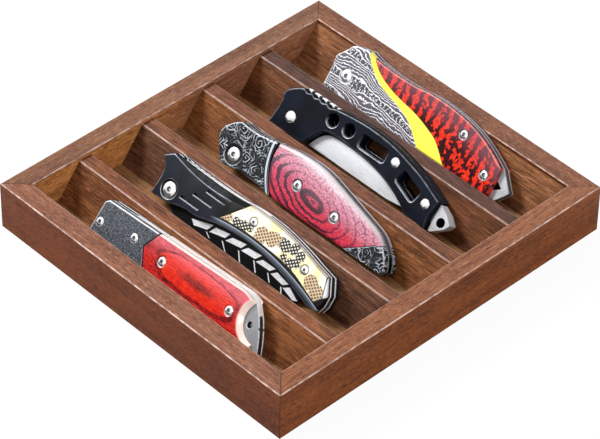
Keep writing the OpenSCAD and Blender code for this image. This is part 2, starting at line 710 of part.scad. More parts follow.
// Top of the thumb rest, a row of scallops
k4_scallops = [for (i = [24 : -1 : 0]) let (l = k4_rest_low + i * k4_scallop_pitch / 6)
    [l, k4_h - 2.2 - k4_scallop_t * (1 - cos(60 * i)) / 2]];
k4_top = curve([
    [k4_len, 14.3], [k4_len - 8.9, 17.6], [k4_len - 17.8, k4_h - 4.5], [72, k4_h - 1.4],
    [62, k4_h - 0.3], [52, k4_h], [42, k4_h - 0.6], [k4_rest_high + 1.2, k4_h - 1.8]]);
k4_head = curve([
    [8, k4_h - 2.8], [4.2, 19.9], [1.2, 17.1], [0.7, 14.5], [1.4, 12.5], [1.2, 7.5], [0, 0]]);
k4_belly = curve([
    [22, 0.2], [25.3, 4.3], [28.7, 9.2], [32, 11.2], [38.7, 12.1], [52, 11.7], [64.2, 10.2],
    [75.3, 7.6], [k4_len - 18.9, 3.2], [k4_len - 14, 0.2]]);
k4_outline = concat(k4_belly, [[k4_len - 0.6, 0], [k4_len - 1.6, 6]], k4_top, k4_scallops, k4_head);
k4_window = [59.2, 17.4];
k4_rear_window = [k4_len - 18.7, 12];

// A rounded window outline, w by h
function window_outline(w, h, r) = concat(
    arc([w / 2 - r, r - h / 2], r, -90, 0, 3), arc([w / 2 - r, h / 2 - r], r, 0, 90, 3),
    arc([r - w / 2, h / 2 - r], r, 90, 180, 3), arc([r - w / 2, r - h / 2], r, 180, 270, 3));

// A window through the frame with a flared rim on its face
module k4_window_cut(w, h) {
    plain = window_outline(w, h, 1.2);
    over = 0.3;
    plate(-cut, knife_t + 2 * cut) polygon(plain);
    translate([0, 0, knife_t - k4_flare_w])
        loft([[-over, inset(plain, over)], [k4_flare_w + over, inset(plain, -k4_flare_w - over)]]);
}

module k4_frame() {
    color(black) difference() {
        cover(k4_outline, cover_edge, front_liner_n, k4_frame_t);
        for (p = k4_holes) translate([p[0], p[1], 0]) {
            translate([0, 0, -cut]) cylinder(r = k4_hole_r, h = knife_t + 2 * cut);
            translate([0, 0, knife_t - k4_flare_w])
                cylinder(r1 = k4_hole_r, r2 = k4_hole_r + k4_flare_w, h = k4_flare_w);
        }
        translate([k4_window[0], k4_window[1], 0]) k4_window_cut(k4_window_l, k4_window_h);
        translate([k4_rear_window[0], k4_rear_window[1], 0]) rotate(-k4_window_tilt)
            k4_window_cut(13.4, 6.2);
        shank_holes([k4_pivot], pivot_r);
        shank_holes(k4_rivets, screw_r);
    }
}

// A rivet through both frames: a dome on the front, a flush head on the back
module k4_rivet(p, shank_r, head_r) {
    dome_r = (head_r * head_r + k4_dome_t * k4_dome_t) / (2 * k4_dome_t);
    translate([p[0], p[1], 0]) {
        cylinder(r = shank_r, h = knife_t);
        translate([0, 0, knife_t]) rotate_extrude() intersection() {
            translate([0, k4_dome_t - dome_r]) circle(dome_r, $fn = 96);
            square([head_r, k4_dome_t]);
        }
    }
}

module k4_pivot_rivet() { color("#eeeeee") k4_rivet(k4_pivot, pivot_r, k4_pivot_head_r); }
module k4_rivet_pair() { color("#eeeeee") for (p = k4_rivets) k4_rivet(p, screw_r, k4_rivet_head_r); }

// Steel under the thumb, proud of the frame's scallops
module k4_thumb_rest() {
    color(steel) plate(space_n, space_t) polygon(
        strip([for (q = k4_scallops) [q[0], k4_h - 2.2 + k4_rest_rise]], k4_spine_w + k4_rest_rise));
}

module k4_back_spacer() {
    color(black) difference() {
        plate(space_n, space_t) polygon(strip(between(k4_top, k4_rest_high + 0.5, k4_len), k4_spine_w));
        shank_holes(k4_rivets, screw_r);
    }
}

module k4_tail_plate() {
    end_l = k4_len + k4_plate_out;
    face = [[k4_len + 0.3, 0], [end_l - 8, 0], [end_l - 1.6, 4.6], [end_l, 7.4], [end_l - 4, 10.8], [k4_len + 0.3, 13.3]];
    tongue = [[k4_len - 9, 5.5], [k4_len - 2.5, 3], [k4_len + 2, 3], [k4_len + 2, 11], [k4_len - 9, 13]];
    color(steel) difference() {
        union() {
            plate(space_n - k4_plate_step, space_t + 2 * k4_plate_step) polygon(face);
            plate(space_n, space_t) polygon(tongue);
        }
        translate([k4_len + 4.7, 6.2, -cut]) cylinder(r = k4_plate_hole_r, h = knife_t + 2 * cut);
        shank_holes(k4_rivets, screw_r);
    }
}

module k4_blade() { color("#e4e6ea") blade(k4_pivot, [k4_len - 12, 6.4], 0.6, 12.4); }

// Knife 5: patterned bolster, yellow stripe, mottled scale and steel tail

k5_pivot = [k5_pivot_l, k5_pivot_s];
k5_scale_screws = [[83.9, 18.4], [k5_len - 6.6, 7.8]];
k5_top = curve([
    [k5_len, 14.9], [k5_len - 9.4, 19.3], [k5_len - 20.5, k5_h - 3.3], [k5_len - 31.6, k5_h - 1.3],
    [67.4, k5_h - 0.5], [56.3, k5_h - 0.7], [48.6, k5_h - 1.7], [35.2, k5_h - 2.1], [23, k5_h - 1.4],
    [16, k5_h]]);
k5_head = [[9.7, 25.7], [6.3, 24.3], [4.7, 21.6], [0.8, 17.1], [0, 15.8], [0.9, 10.9], [1, 0]];
k5_outline = concat([[k5_len, 0]], k5_top, k5_head);
k5_liner_outline = concat(
    [[k5_len + 3.2, 0], [k5_len + k5_tail_out - 0.6, 5.4], [k5_len + k5_tail_out, 6.6]], k5_top, k5_head);
k5_stripe_top = curve([
    [83.5, -cut], [73, 7.6], [65.2, 10.9], [55.2, 13.7], [44.1, 15.4], [34.1, 17.6], [25.2, 21.5], [18.6, k5_h + cut]]);
k5_stripe_low = curve([
    [66.5, -cut], [56.3, 7], [48.6, 10.9], [37.4, 13.7], [28.6, 16.5], [20.8, 21.5], [15.4, k5_h + cut]]);

// Everything on the head's side of a line
module k5_head_side(line) {
    plate(-cut, knife_t + 2 * cut) polygon(concat(line, [[-cut, k5_h + cut], [-cut, -cut]]));
}

module k5_cover() { cover(k5_outline, cover_edge); }

module k5_bolster() {
    color("#8d8f96") difference() {
        intersection() {
            k5_cover();
            k5_head_side(k5_stripe_low);
        }
        head_holes([k5_pivot], pivot_r, k5_pivot_head_r, k5_pivot_ring_r);
    }
}

module k5_stripe() {
    color("#f2e03c") difference() {
        intersection() {
            k5_cover();
            k5_head_side(k5_stripe_top);
        }
        k5_head_side(k5_stripe_low);
    }
}

module k5_scale() {
    color("#a02420") difference() {
        k5_cover();
        k5_head_side(k5_stripe_top);
        head_holes(k5_scale_screws, screw_r, k5_head_r, k5_ring_r);
    }
}

// The back has no stripe: its scale reaches the bolster
module k5_back_scale() {
    color("#a02420") other_side() difference() {
        k5_cover();
        k5_head_side(k5_stripe_low);
        head_holes(k5_scale_screws, screw_r, k5_head_r, k5_ring_r);
    }
}

module k5_tail_hole() {
    translate([k5_len + 0.9, 6.2, -cut]) linear_extrude(knife_t + 2 * cut) polygon(
        k5_hole_side / sqrt(3) * [for (a = [0 : 120 : 240]) [cos(a), sin(a)]]);
}

module k5_liner() {
    color(steel) difference() {
        plate(front_liner_n, liner_t) polygon(k5_liner_outline);
        shank_holes(k5_scale_screws, screw_r);
        shank_holes([k5_pivot], pivot_r);
        k5_tail_hole();
    }
}

module k5_spine_bar() {
    color(steel) difference() {
        union() {
            plate(space_n, space_t) polygon(strip(between(k5_top, 22, k5_len - 2), k5_spine_w));
            plate(space_n, space_t) intersection() {
                polygon(k5_liner_outline);
                translate([k5_len - 3, -cut]) square([20, k5_h]);
            }
        }
        k5_tail_hole();
    }
}

module k5_blade() { color(steel) blade(k5_pivot, [k5_len - 9, 5.6], 1, 15.6); }
module k5_pivot_screw() { color("#e8e8ea") pivot(k5_pivot, k5_pivot_head_r); }
module k5_screws() { color("#e8e8ea") cover_screws(k5_scale_screws, k5_head_r); }

rail_front();
rail_back();
rail_left();
rail_right();
bottom_panel();
divider(0);  // divider_1
divider(1);  // divider_2
divider(2);  // divider_3
divider(3);  // divider_4
rear_ramp();
in_slot(0) k1_bolster();  // knife1_bolster_front
in_slot(0) other_side() k1_bolster();  // knife1_bolster_back
in_slot(0) k1_scale();  // knife1_scale_front
in_slot(0) other_side() k1_scale();  // knife1_scale_back
in_slot(0) k1_liner();  // knife1_liner_front
in_slot(0) other_side() k1_liner();  // knife1_liner_back
in_slot(0) k1_spine_bar();  // knife1_spine_bar
in_slot(0) k1_blade();  // knife1_blade
in_slot(0) k1_pivot_pin();  // knife1_pivot_pin
in_slot(0) k1_screws();  // knife1_screws
in_slot(1) k2_frame();  // knife2_frame_front
in_slot(1) k2_back_frame();  // knife2_frame_back
in_slot(1) k2_inlay();  // knife2_inlay
in_slot(1) k2_liner();  // knife2_liner_front
in_slot(1) other_side() k2_liner();  // knife2_liner_back
in_slot(1) k2_spine_bar();  // knife2_spine_bar
in_slot(1) k2_blade();  // knife2_blade
in_slot(1) k2_pivot_screw();  // knife2_pivot_screw
in_slot(1) k2_screws();  // knife2_screws
in_slot(2) k3_bolster();  // knife3_bolster_front
in_slot(2) other_side() k3_bolster();  // knife3_bolster_back
in_slot(2) k3_tail_cap();  // knife3_tail_cap_front
in_slot(2) other_side() k3_tail_cap();  // knife3_tail_cap_back
in_slot(2) k3_scale();  // knife3_scale_front
in_slot(2) other_side() k3_scale();  // knife3_scale_back
in_slot(2) k3_liner();  // knife3_liner_front
in_slot(2) other_side() k3_liner();  // knife3_liner_back
in_slot(2) k3_spine_bar();  // knife3_spine_bar
in_slot(2) k3_blade();  // knife3_blade
in_slot(2) k3_pivot_screw();  // knife3_pivot_screw
in_slot(2) k3_screws();  // knife3_screws
in_slot(3) k4_frame();  // knife4_frame_front
in_slot(3) other_side() k4_frame();  // knife4_frame_back
in_slot(3) k4_thumb_rest();  // knife4_thumb_rest
in_slot(3) k4_back_spacer();  // knife4_back_spacer
in_slot(3) k4_tail_plate();  // knife4_tail_plate
in_slot(3) k4_blade();  // knife4_blade
in_slot(3) k4_pivot_rivet();  // knife4_pivot_rivet
in_slot(3) k4_rivet_pair();  // knife4_rivets
in_slot(4) k5_bolster();  // knife5_bolster_front
in_slot(4) other_side() k5_bolster();  // knife5_bolster_back
in_slot(4) k5_stripe();  // knife5_stripe
in_slot(4) k5_scale();  // knife5_scale_front
in_slot(4) k5_back_scale();  // knife5_scale_back
in_slot(4) k5_liner();  // knife5_liner_front
in_slot(4) other_side() k5_liner();  // knife5_liner_back
in_slot(4) k5_spine_bar();  // knife5_spine_bar
in_slot(4) k5_blade();  // knife5_blade
in_slot(4) k5_pivot_screw();  // knife5_pivot_screw
in_slot(4) k5_screws();  // knife5_screws
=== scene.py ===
"""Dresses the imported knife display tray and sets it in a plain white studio.

The tray and its five knives come from the frame. This file adds rounded edges, screw recesses, engraving
and every surface's finish, then the camera, floor and lamps.
"""

import json
import logging
import math
from dataclasses import dataclass, field
from enum import Enum
from functools import reduce

import bmesh
import bpy
from mathutils import Matrix, Vector

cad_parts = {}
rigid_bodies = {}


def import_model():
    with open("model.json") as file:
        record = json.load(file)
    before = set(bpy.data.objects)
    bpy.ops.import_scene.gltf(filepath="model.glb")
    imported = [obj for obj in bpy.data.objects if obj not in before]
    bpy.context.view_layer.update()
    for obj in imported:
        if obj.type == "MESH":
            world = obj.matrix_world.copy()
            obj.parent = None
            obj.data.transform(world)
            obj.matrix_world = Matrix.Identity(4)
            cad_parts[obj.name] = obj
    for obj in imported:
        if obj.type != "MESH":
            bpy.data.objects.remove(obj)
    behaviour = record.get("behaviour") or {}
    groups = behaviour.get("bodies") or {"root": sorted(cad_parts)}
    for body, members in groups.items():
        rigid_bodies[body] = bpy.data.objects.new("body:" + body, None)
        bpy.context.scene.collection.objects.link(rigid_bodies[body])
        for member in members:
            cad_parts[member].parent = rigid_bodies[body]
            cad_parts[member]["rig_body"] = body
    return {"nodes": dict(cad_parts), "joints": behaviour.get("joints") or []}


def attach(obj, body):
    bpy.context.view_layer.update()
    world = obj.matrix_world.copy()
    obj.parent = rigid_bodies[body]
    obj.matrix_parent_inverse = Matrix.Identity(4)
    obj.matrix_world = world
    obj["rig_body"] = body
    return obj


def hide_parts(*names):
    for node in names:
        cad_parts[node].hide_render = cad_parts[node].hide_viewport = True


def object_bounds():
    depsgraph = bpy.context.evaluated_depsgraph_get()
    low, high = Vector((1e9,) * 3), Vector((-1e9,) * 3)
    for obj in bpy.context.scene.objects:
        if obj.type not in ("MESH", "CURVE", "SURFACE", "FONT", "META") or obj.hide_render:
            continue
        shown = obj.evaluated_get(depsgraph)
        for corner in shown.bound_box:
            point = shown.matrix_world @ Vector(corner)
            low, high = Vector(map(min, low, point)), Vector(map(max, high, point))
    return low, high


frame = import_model()
CAD_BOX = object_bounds()

logging.basicConfig(level=logging.INFO, format="%(message)s")
LOG = logging.getLogger("display_tray")

MM = 0.001
KNIFE_T = 10.0
BLADE_STEEL = "#71747a"
COVER_LOW = 7.2
IMAGE_WIDTH = 600
SENSOR_WIDTH = 36.0
CLIP_RANGE = (0.05, 20.0)
MERGE_DISTANCE = 2e-6
FLAT_ANGLE = math.radians(0.8)
SMOOTH_ANGLE = math.radians(50)
MITRE_SPREAD = 0.05
HEAD_RISE = 0.15
FAR_AWAY = 1000.0
WHITE = (1.0, 1.0, 1.0, 1.0)

Piece = bpy.types.Object
Pair = tuple[float, float]
Triple = tuple[float, float, float]
Colour = tuple[float, float, float, float]


def tone(code: str) -> Colour:
    """Turns a screen colour code into the linear colour that a shader takes.

    Args:
        code: Six hexadecimal digits after a hash sign.

    Returns:
        The linear red, green and blue, and an alpha of 1.
    """
    parts = [int(code[i:i + 2], 16) / 255 for i in (1, 3, 5)]
    linear = [c / 12.92 if c <= 0.04045 else ((c + 0.055) / 1.055) ** 2.4 for c in parts]
    return (*linear, 1.0)


class Grain(Enum):
    """The axis that a piece of wood's grain runs along."""

    ALONG_X = 0
    ALONG_Y = 1

    def scales(self, along: float, across: float) -> Triple:
        """Gives a pattern's scale along each axis, from its scales along and across the grain."""
        return tuple(along if axis == self.value else across for axis in range(3))


@dataclass(frozen=True)
class Flow:
    """A number, vector or colour that one node of a graph gives. Sums with it add nodes."""

    graph: "Graph"
    socket: bpy.types.NodeSocket

    def sum(self, operation: str, *values: "Value") -> "Flow":
        """Does one sum, on vectors unless this is a number."""
        kind = "Math" if self.socket.type == "VALUE" else "VectorMath"
        return self.graph.out(kind, dict(enumerate(values)), operation=operation)

    def __add__(self, other: "Value") -> "Flow":
        """Adds."""
        return self.sum("ADD", self, other)

    def __sub__(self, other: "Value") -> "Flow":
        """Subtracts the other."""
        return self.sum("SUBTRACT", self, other)

    def __rsub__(self, other: "Value") -> "Flow":
        """Subtracts this from the other."""
        return self.sum("SUBTRACT", other, self)

    def __mul__(self, other: "Value") -> "Flow":
        """Multiplies."""
        return self.sum("MULTIPLY", self, other)

    def __truediv__(self, other: "Value") -> "Flow":
        """Divides by the other."""
        return self.sum("DIVIDE", self, other)

    def __pow__(self, other: "Value") -> "Flow":
        """Raises to a power."""
        return self.sum("POWER", self, other)

    def __abs__(self) -> "Flow":
        """Drops the sign."""
        return self.sum("ABSOLUTE", self)

    __radd__ = __add__
    __rmul__ = __mul__


Value = Flow | float | tuple | Vector | str


class Graph:
    """The node graph of a material or of the world, with short names for the nodes that the looks use."""

    def __init__(self, owner: bpy.types.Material | bpy.types.World) -> None:
        """Starts from the plain shader that a new material or world has.

        Args:
            owner: The material or world.
        """
        owner.use_nodes = True
        self.owner = owner
        self.tree = owner.node_tree
        self.body: Value = WHITE

    def feed(self, socket: bpy.types.NodeSocket, value: Value) -> None:
        """Links an input to what flows from another node, or sets its number or colour."""
        if isinstance(value, Flow):
            self.tree.links.new(value.socket, socket)
        else:
            socket.default_value = tone(value) if isinstance(value, str) else value

    def out(self, kind: str, sockets: dict | None = None, output: int | str = 0, **settings: object) -> Flow:
        """Adds one node.

        Args:
            kind: The node's type, without its common prefix.
            sockets: Input names or numbers, and what each is linked or set to.
            output: The name or number of the output that is wanted.
            **settings: The node's own settings.

        Returns:
            What the node gives.
        """
        node = self.tree.nodes.new("ShaderNode" + kind)
        for key, value in settings.items():
            setattr(node, key, value)
        for key, value in (sockets or {}).items():
            self.feed(node.inputs[key], value)
        return Flow(self, node.outputs[output])

    def math(self, operation: str, *values: Value) -> Flow:
        """Does one sum on numbers."""
        return self.out("Math", dict(enumerate(values)), operation=operation)

    def most(self, *values: Value) -> Flow:
        """Gives the largest of some numbers."""
        return reduce(lambda a, b: self.math("MAXIMUM", a, b), values)

    def dot(self, a: Value, b: Value) -> Flow:
        """Gives the dot product of two vectors."""
        return self.out("VectorMath", {0: a, 1: b}, "Value", operation="DOT_PRODUCT")

    def split(self, vector: Flow) -> list[Flow]:
        """Gives a vector's three parts."""
        node = self.out("SeparateXYZ", {0: vector}).socket.node
        return [Flow(self, part) for part in node.outputs]

    def join(self, x: Value, y: Value, z: Value = 0.0) -> Flow:
        """Makes a vector of three numbers."""
        return self.out("CombineXYZ", {0: x, 1: y, 2: z})

    def normal(self) -> Flow:
        """Gives the direction that the bare surface looks along."""
        return self.out("NewGeometry", output="True Normal")

    def noise(self, at: Flow, scale: float, detail: float = 2, rough: float = 0.5, bend: float = 0) -> Flow:
        """Gives cloudy noise from 0 to 1.

        Args:
            at: Where the noise is read.
            scale: Clouds in one unit of length.
            detail: How many finer layers it has.
            rough: How strong the finer layers are.
            bend: How far the noise bends itself.

        Returns:
            The noise's value.
        """
        sockets = {"Vector": at, "Scale": scale, "Detail": detail, "Roughness": rough, "Distortion": bend}
        return self.out("TexNoise", sockets)

    def clouds(self, at: Flow, scale: float) -> Flow:
        """Gives three separate cloudy noises as one vector."""
        return self.out("TexNoise", {"Vector": at, "Scale": scale}, "Color")

    def brushed(self, at: Flow) -> Flow:
        """Gives fine lines along the handle."""
        return self.noise(at * (0.12, 1.6, 1.6), 2.0, 3.0, 0.7)

    def cells(self, at: Flow, scale: float, output: str, random: float = 1.0) -> Flow:
        """Gives one output of a flat pattern of cells."""
        sockets = {"Vector": at, "Scale": scale, "Randomness": random}
        return self.out("TexVoronoi", sockets, output, voronoi_dimensions="2D")

    def step(self, value: Flow, low: float, high: float, to_low: Value = 0.0, to_high: Value = 1.0) -> Flow:
        """Turns a value smoothly from one level to another.

        Args:
            value: What is compared.
            low: Where the change starts.
            high: Where it ends, which may lie below its start.
            to_low: The level before the start.
            to_high: The level after the end.

        Returns:
            The new level.
        """
        if low > high:
            low, high, to_low, to_high = high, low, to_high, to_low
        sockets = {0: value, 1: low, 2: high, 3: to_low, 4: to_high}
        return self.out("MapRange", sockets, interpolation_type="SMOOTHSTEP")

    def mix(self, share: Value, a: Value, b: Value, blend: str = "MIX") -> Flow:
        """Mixes two colours.

        Args:
            share: How much of the second is taken.
            a: The first colour.
            b: The second colour.
            blend: How they are mixed.

        Returns:
            The mixed colour.
        """
        return self.out("Mix", {0: share, 6: a, 7: b}, 2, data_type="RGBA", blend_type=blend)

    def lay(self, share: Value, colour: Value, blend: str = "MIX") -> None:
        """Lays a colour over the surface's own, wherever its share is above 0."""
        self.body = self.mix(share, self.body, colour, blend)

    def bump(self, height: Flow, depth_mm: float, strength: float = 1.0) -> Flow:
        """Turns a height from 0 to 1 into a surface relief.

        Args:
            height: The height.
            depth_mm: The depth of the whole range, in millimetres.
            strength: How strongly it shows.

        Returns:
            The surface's normal.
        """
        return self.out("Bump", {"Height": height, "Strength": strength, "Distance": depth_mm * MM})

    def finish(self, rough: Value, **others: Value) -> None:
        """Sets what a material's shader takes.

        Args:
            rough: The surface's roughness.
            **others: More of the shader's inputs, with underscores for spaces.
        """
        inputs = self.tree.nodes["Principled BSDF"].inputs
        for name, value in {"Base_Color": self.body, "Roughness": rough, **others}.items():
            self.feed(inputs[name.replace("_", " ")], value)

    def show(self, shader: Flow) -> None:
        """Shows a shader in place of the first one."""
        end = next(node for node in self.tree.nodes if node.bl_idname.startswith("ShaderNodeOutput"))
        self.feed(end.inputs["Surface"], shader)


@dataclass(frozen=True)
class Seat:
    """Where a knife lies: its own lengths run from head to tail, up its ramp, and out of its front."""

    matrix: Matrix

    @classmethod
    def of(cls, number: int, pivot: Pair) -> "Seat":
        """Finds a knife's place from its two joints.

        Args:
            number: The knife's number, from 1.
            pivot: Its pivot's place along and across the handle, in millimetres.

        Returns:
            The knife's seat.
        """
        joints = {j["name"]: j for j in frame["joints"]}
        hinge = joints[f"knife{number}_blade_pivot"]
        along = Vector((0.0, -1.0, 0.0))
        up = Vector(joints[f"knife{number}_lift"]["axis"]).normalized()
        out = along.cross(up)
        middle = Vector((*pivot, KNIFE_T / 2))
        turn = Matrix((along, up, out)).transposed()
        origin = Vector(hinge["pos_m"]) - turn @ (middle * MM)
        return cls(Matrix.Translation(origin) @ turn.to_4x4())

    def world(self, l: float, s: float, n: float) -> Vector:
        """Turns a place on the knife, in millimetres, into metres in the tray's frame."""
        return self.matrix @ (Vector((l, s, n)) * MM)

    def direction(self, l: float, s: float, n: float) -> Vector:
        """Turns a direction on the knife into one in the tray's frame."""
        return self.matrix.to_3x3() @ Vector((l, s, n))

    def local(self, point: Vector) -> Vector:
        """Turns a place in the tray's frame into millimetres on the knife."""
        return (self.matrix.inverted() @ point) / MM

    def coordinates(self, graph: Graph) -> Flow:
        """Gives a material its place on the knife, in millimetres from the knife's own origin."""
        sockets = {
            "Vector": graph.out("TexCoord", output="Object"),
            "Location": self.matrix.translation,
            "Rotation": self.matrix.to_euler(),
            "Scale": (MM, MM, MM),
        }
        return graph.out("Mapping", sockets, vector_type="TEXTURE")

    def facing(self, graph: Graph, l: float, s: float, n: float) -> Flow:
        """Gives how squarely the surface looks along a direction on the knife, from -1 to 1."""
        return graph.dot(graph.normal(), self.direction(l, s, n))


def tray_coordinates(graph: Graph) -> Flow:
    """Gives a material its place on the tray, in millimetres."""
    at = graph.out("TexCoord", output="Object")
    return graph.out("Mapping", {"Vector": at, "Scale": (1 / MM,) * 3})


@dataclass(frozen=True)
class Walnut:
    """Oiled walnut with fine pores, faint streaks and pale arrises, partly wear and partly a painted
    highlight.
    """

    grain: Grain
    dark: str = "#4a2614"
    middle: str = "#70402a"
    light: str = "#8a5639"
    # Colour of the pale arrises: wear and a painted highlight.
    wear_and_glint: str = "#e4cbc0"
    seed: float = 0.0
    lines: float = 0.35
    rough: float = 0.45
    pore: float = 0.2
    hair: float = 0.25
    slope: Triple = (0.0, 0.0, 1.0)
    seam: float = 0.0
    # Strength of the pale arrises, wear and painted highlight.
    arris_wear_and_glint: float = 0.68
    # Tints of level tops, of the other faces and of the back rail's inner face: painted light and shade, the
    # other faces painted darker.
    tops: Triple = (1.0, 1.0, 1.0)
    sides: Triple = (0.85, 0.63, 0.38)
    inside: tuple[Triple, ...] = ()

    def paint(self, name: str) -> bpy.types.Material:
        """Makes the material.

        Args:
            name: The material's name.

        Returns:
            The material.
        """
        g = Graph(bpy.data.materials.new(name))
        place = tray_coordinates(g)
        at = place + (self.seed, 2.7 * self.seed, 1.3 * self.seed)
        drawn = at * self.grain.scales(1 / 26, 1.0)
        short = at * self.grain.scales(self.pore, 1.0)
        hairs = g.noise(at * self.grain.scales(0.04, 1.6), 1.5, 3.0, 0.7)
        sway = g.noise(drawn, 0.35, 2.0)
        bent = drawn + g.join(sway, sway, sway) * (1.8, 1.8, 1.8)
        broad = g.noise(bent, 0.16, 3.0, 0.55, 0.4)
        streaks = g.noise(bent, 0.9, 4.0, 0.7)
        pores = g.noise(short, 1.5, 3.0, 0.75)
        cloud = g.noise(at, 0.07, 3.0, 0.6)
        ring = g.math("PINGPONG", broad * 9.0, 0.5)
        g.body = g.mix(g.step(broad, 0.38, 0.62), self.dark, self.light)
        g.lay(0.62, self.middle)
        g.lay(g.step(ring, 0.14, 0.0, 0.0, self.lines), self.dark)
        g.lay(g.step(streaks, 0.46, 0.34, 0.0, self.lines), self.dark)
        g.lay(g.step(streaks, 0.56, 0.68, 0.0, 0.3), self.light)
        g.lay(g.step(cloud, 0.4, 0.7, 0.0, 0.35), self.light)
        g.lay(g.step(hairs, 0.48, 0.36, 0.0, self.hair), "#1e1212")
        g.lay(g.step(hairs, 0.54, 0.66, 0.0, self.hair), "#b07c5c")
        g.lay(g.step(pores, 0.46, 0.34, 0.0, 0.7), "#2a150c")
        g.lay(g.step(pores, 0.56, 0.68, 0.0, 0.5), "#b07c60")
        # Painted light and shade: every face is multiplied by its tint.
        g.lay(1.0, self.light_tint(g, place), "MULTIPLY")
        # Pale arrises: partly wear, partly a painted highlight where rounded edges catch the lamps.
        g.lay(self.edges(g, place), self.wear_and_glint)
        if self.seam:
            g.lay(self.mitre(g, place), "#22100a")
        relief = g.bump(pores + streaks * 0.5, 0.08, 0.6)
        rough = g.step(pores, 0.3, 0.7, self.rough + 0.1, self.rough - 0.06)
        g.finish(rough, Normal=relief, Specular_IOR_Level=0.16)
        return g.owner

    def light_tint(self, g: Graph, place: Flow) -> Flow:
        """Finds the tints of level tops, the other faces and the inside; on the rails, dividers and ramp they
        are painted light and shade.

        Args:
            g: The graph that it is added to.
            place: The place on the tray, in millimetres.

        Returns:
            The tint's colour.
        """
        normal = g.normal()
        level = g.step(g.split(normal)[2], 0.7, 0.9)
        shade = g.mix(level, (*self.sides, 1.0), (*self.tops, 1.0))
        # Painted light: the back rail's inner face is tinted warm, changing across the tray from one end to
        # the other.
        if self.inside:
            left, right = self.inside
            across = g.step(g.split(place)[0], -45.0, 25.0)
            inner = g.step(g.dot(normal, (0.0, -1.0, 0.0)), 0.9, 0.95)
            shade = g.mix(inner, shade, g.mix(across, (*left, 1.0), (*right, 1.0)))
        return shade

    def edges(self, g: Graph, place: Flow) -> Flow:
        """Finds the rounded edges, which face between the piece's flat sides.

        Args:
            g: The graph that it is added to.
            place: The place on the tray, in millimetres.

        Returns:
            How strongly the edges are painted pale, partly as wear and partly as a painted highlight.
        """
        normal = g.normal()
        flat = g.most(*g.split(abs(normal)), abs(g.dot(normal, self.slope)))
        arris_wear_and_glint = g.noise(place, 0.22, 3.0, 0.6)
        return g.step(flat, 0.985, 0.86) * g.step(arris_wear_and_glint, 0.4, 0.62, 0.25, self.arris_wear_and_glint)

    def mitre(self, g: Graph, place: Flow) -> Flow:
        """Finds the thin dark seam where two rails meet at a corner.

        Args:
            g: The graph that it is added to.
            place: The place on the tray, in millimetres.

        Returns:
            How strongly the seam shows.
        """
        x, y, _ = g.split(abs(place))
        off = abs(x - y - self.seam)
        return g.step(off, 0.45, 0.15, 0.0, 0.75)


@dataclass(frozen=True)
class Look:
    """How one knife's parts look: what all such looks share."""

    seat: Seat

    def paint(self, name: str) -> bpy.types.Material:
        """Makes the material.

        Args:
            name: The material's name.

        Returns:
            The material.
        """
        graph = Graph(bpy.data.materials.new(name))
        self.draw(graph, self.seat.coordinates(graph))
        return graph.owner

    def draw(self, g: Graph, at: Flow) -> None:
        """Draws the look on a graph, from the place on the knife in millimetres."""
        raise NotImplementedError


@dataclass(frozen=True)
class Steel(Look):
    """Ground steel with fine lines along the handle; where set, painted light on its edges, painted shade on
    the face under the covers, on its inner face and inside a hole, and dark bands.
    """

    colour: str = "#c4c6c9"
    rough: float = 0.3
    lines: float = 0.4
    metal: float = 0.3
    shaded_to: float = 0.0
    # Tone painted on the faces that don't look out of the handle, the edges: painted light.
    edge: str = "#eceef0"
    hole: Triple = (0.0, 0.0, 0.0)
    bands: Triple = (0.0, 0.0, 0.0)

    def draw(self, g: Graph, at: Flow) -> None:
        """Draws the look.

        Args:
            g: The graph that it is drawn on.
            at: The place on the knife, in millimetres.
        """
        brushed = g.brushed(at)
        cloud = g.noise(at, 0.14, 2.0)
        deep = tuple(0.5 * c for c in tone(self.colour)[:3]) + (1.0,)
        g.body = g.mix(g.step(brushed, 0.3, 0.7, self.lines, 0.0), self.colour, deep)
        if self.shaded_to:
            front = self.seat.facing(g, 0, 0, 1)
            facing = abs(front)
            place, _, depth = g.split(at)
            # Painted light on the edges: the faces that don't look out of the handle take the edge tone.
            g.lay(g.step(facing, 0.7, 0.3), self.edge)
            # Painted shade: the face under the covers and the inner faces that look into the knife's middle
            # are laid near black.
            shade = g.step(facing, 0.8, 0.95) * g.step(place, self.shaded_to, self.shaded_to - 1)
            inner = g.step(front * (depth - KNIFE_T / 2), -0.5, -1.5)
            g.lay(g.most(shade, inner), "#08080a")
        # Dark bands along the handle; on knife 2's spine bar the one band is painted shadow towards the tail.
        if self.bands[2]:
            start, pitch, half = self.bands
            off = g.math("PINGPONG", g.split(at)[0] - start, pitch / 2)
            g.lay(g.step(off, half - 0.2, half + 0.2), "#14161b")
        # Painted shade on the walls inside the hole.
        if self.hole[2]:
            facing = abs(self.seat.facing(g, 0, 0, 1))
            near = g.step(nearest(g, at, (self.hole[:2],))[0], self.hole[2] + 0.3, self.hole[2] + 0.1)
            g.lay(near * g.step(facing, 0.8, 0.5), "#050506")
        rough = g.step(cloud, 0.3, 0.7, self.rough - 0.06, self.rough + 0.08)
        g.finish(rough, Metallic=self.metal, Normal=g.bump(brushed, 0.01, 0.4))


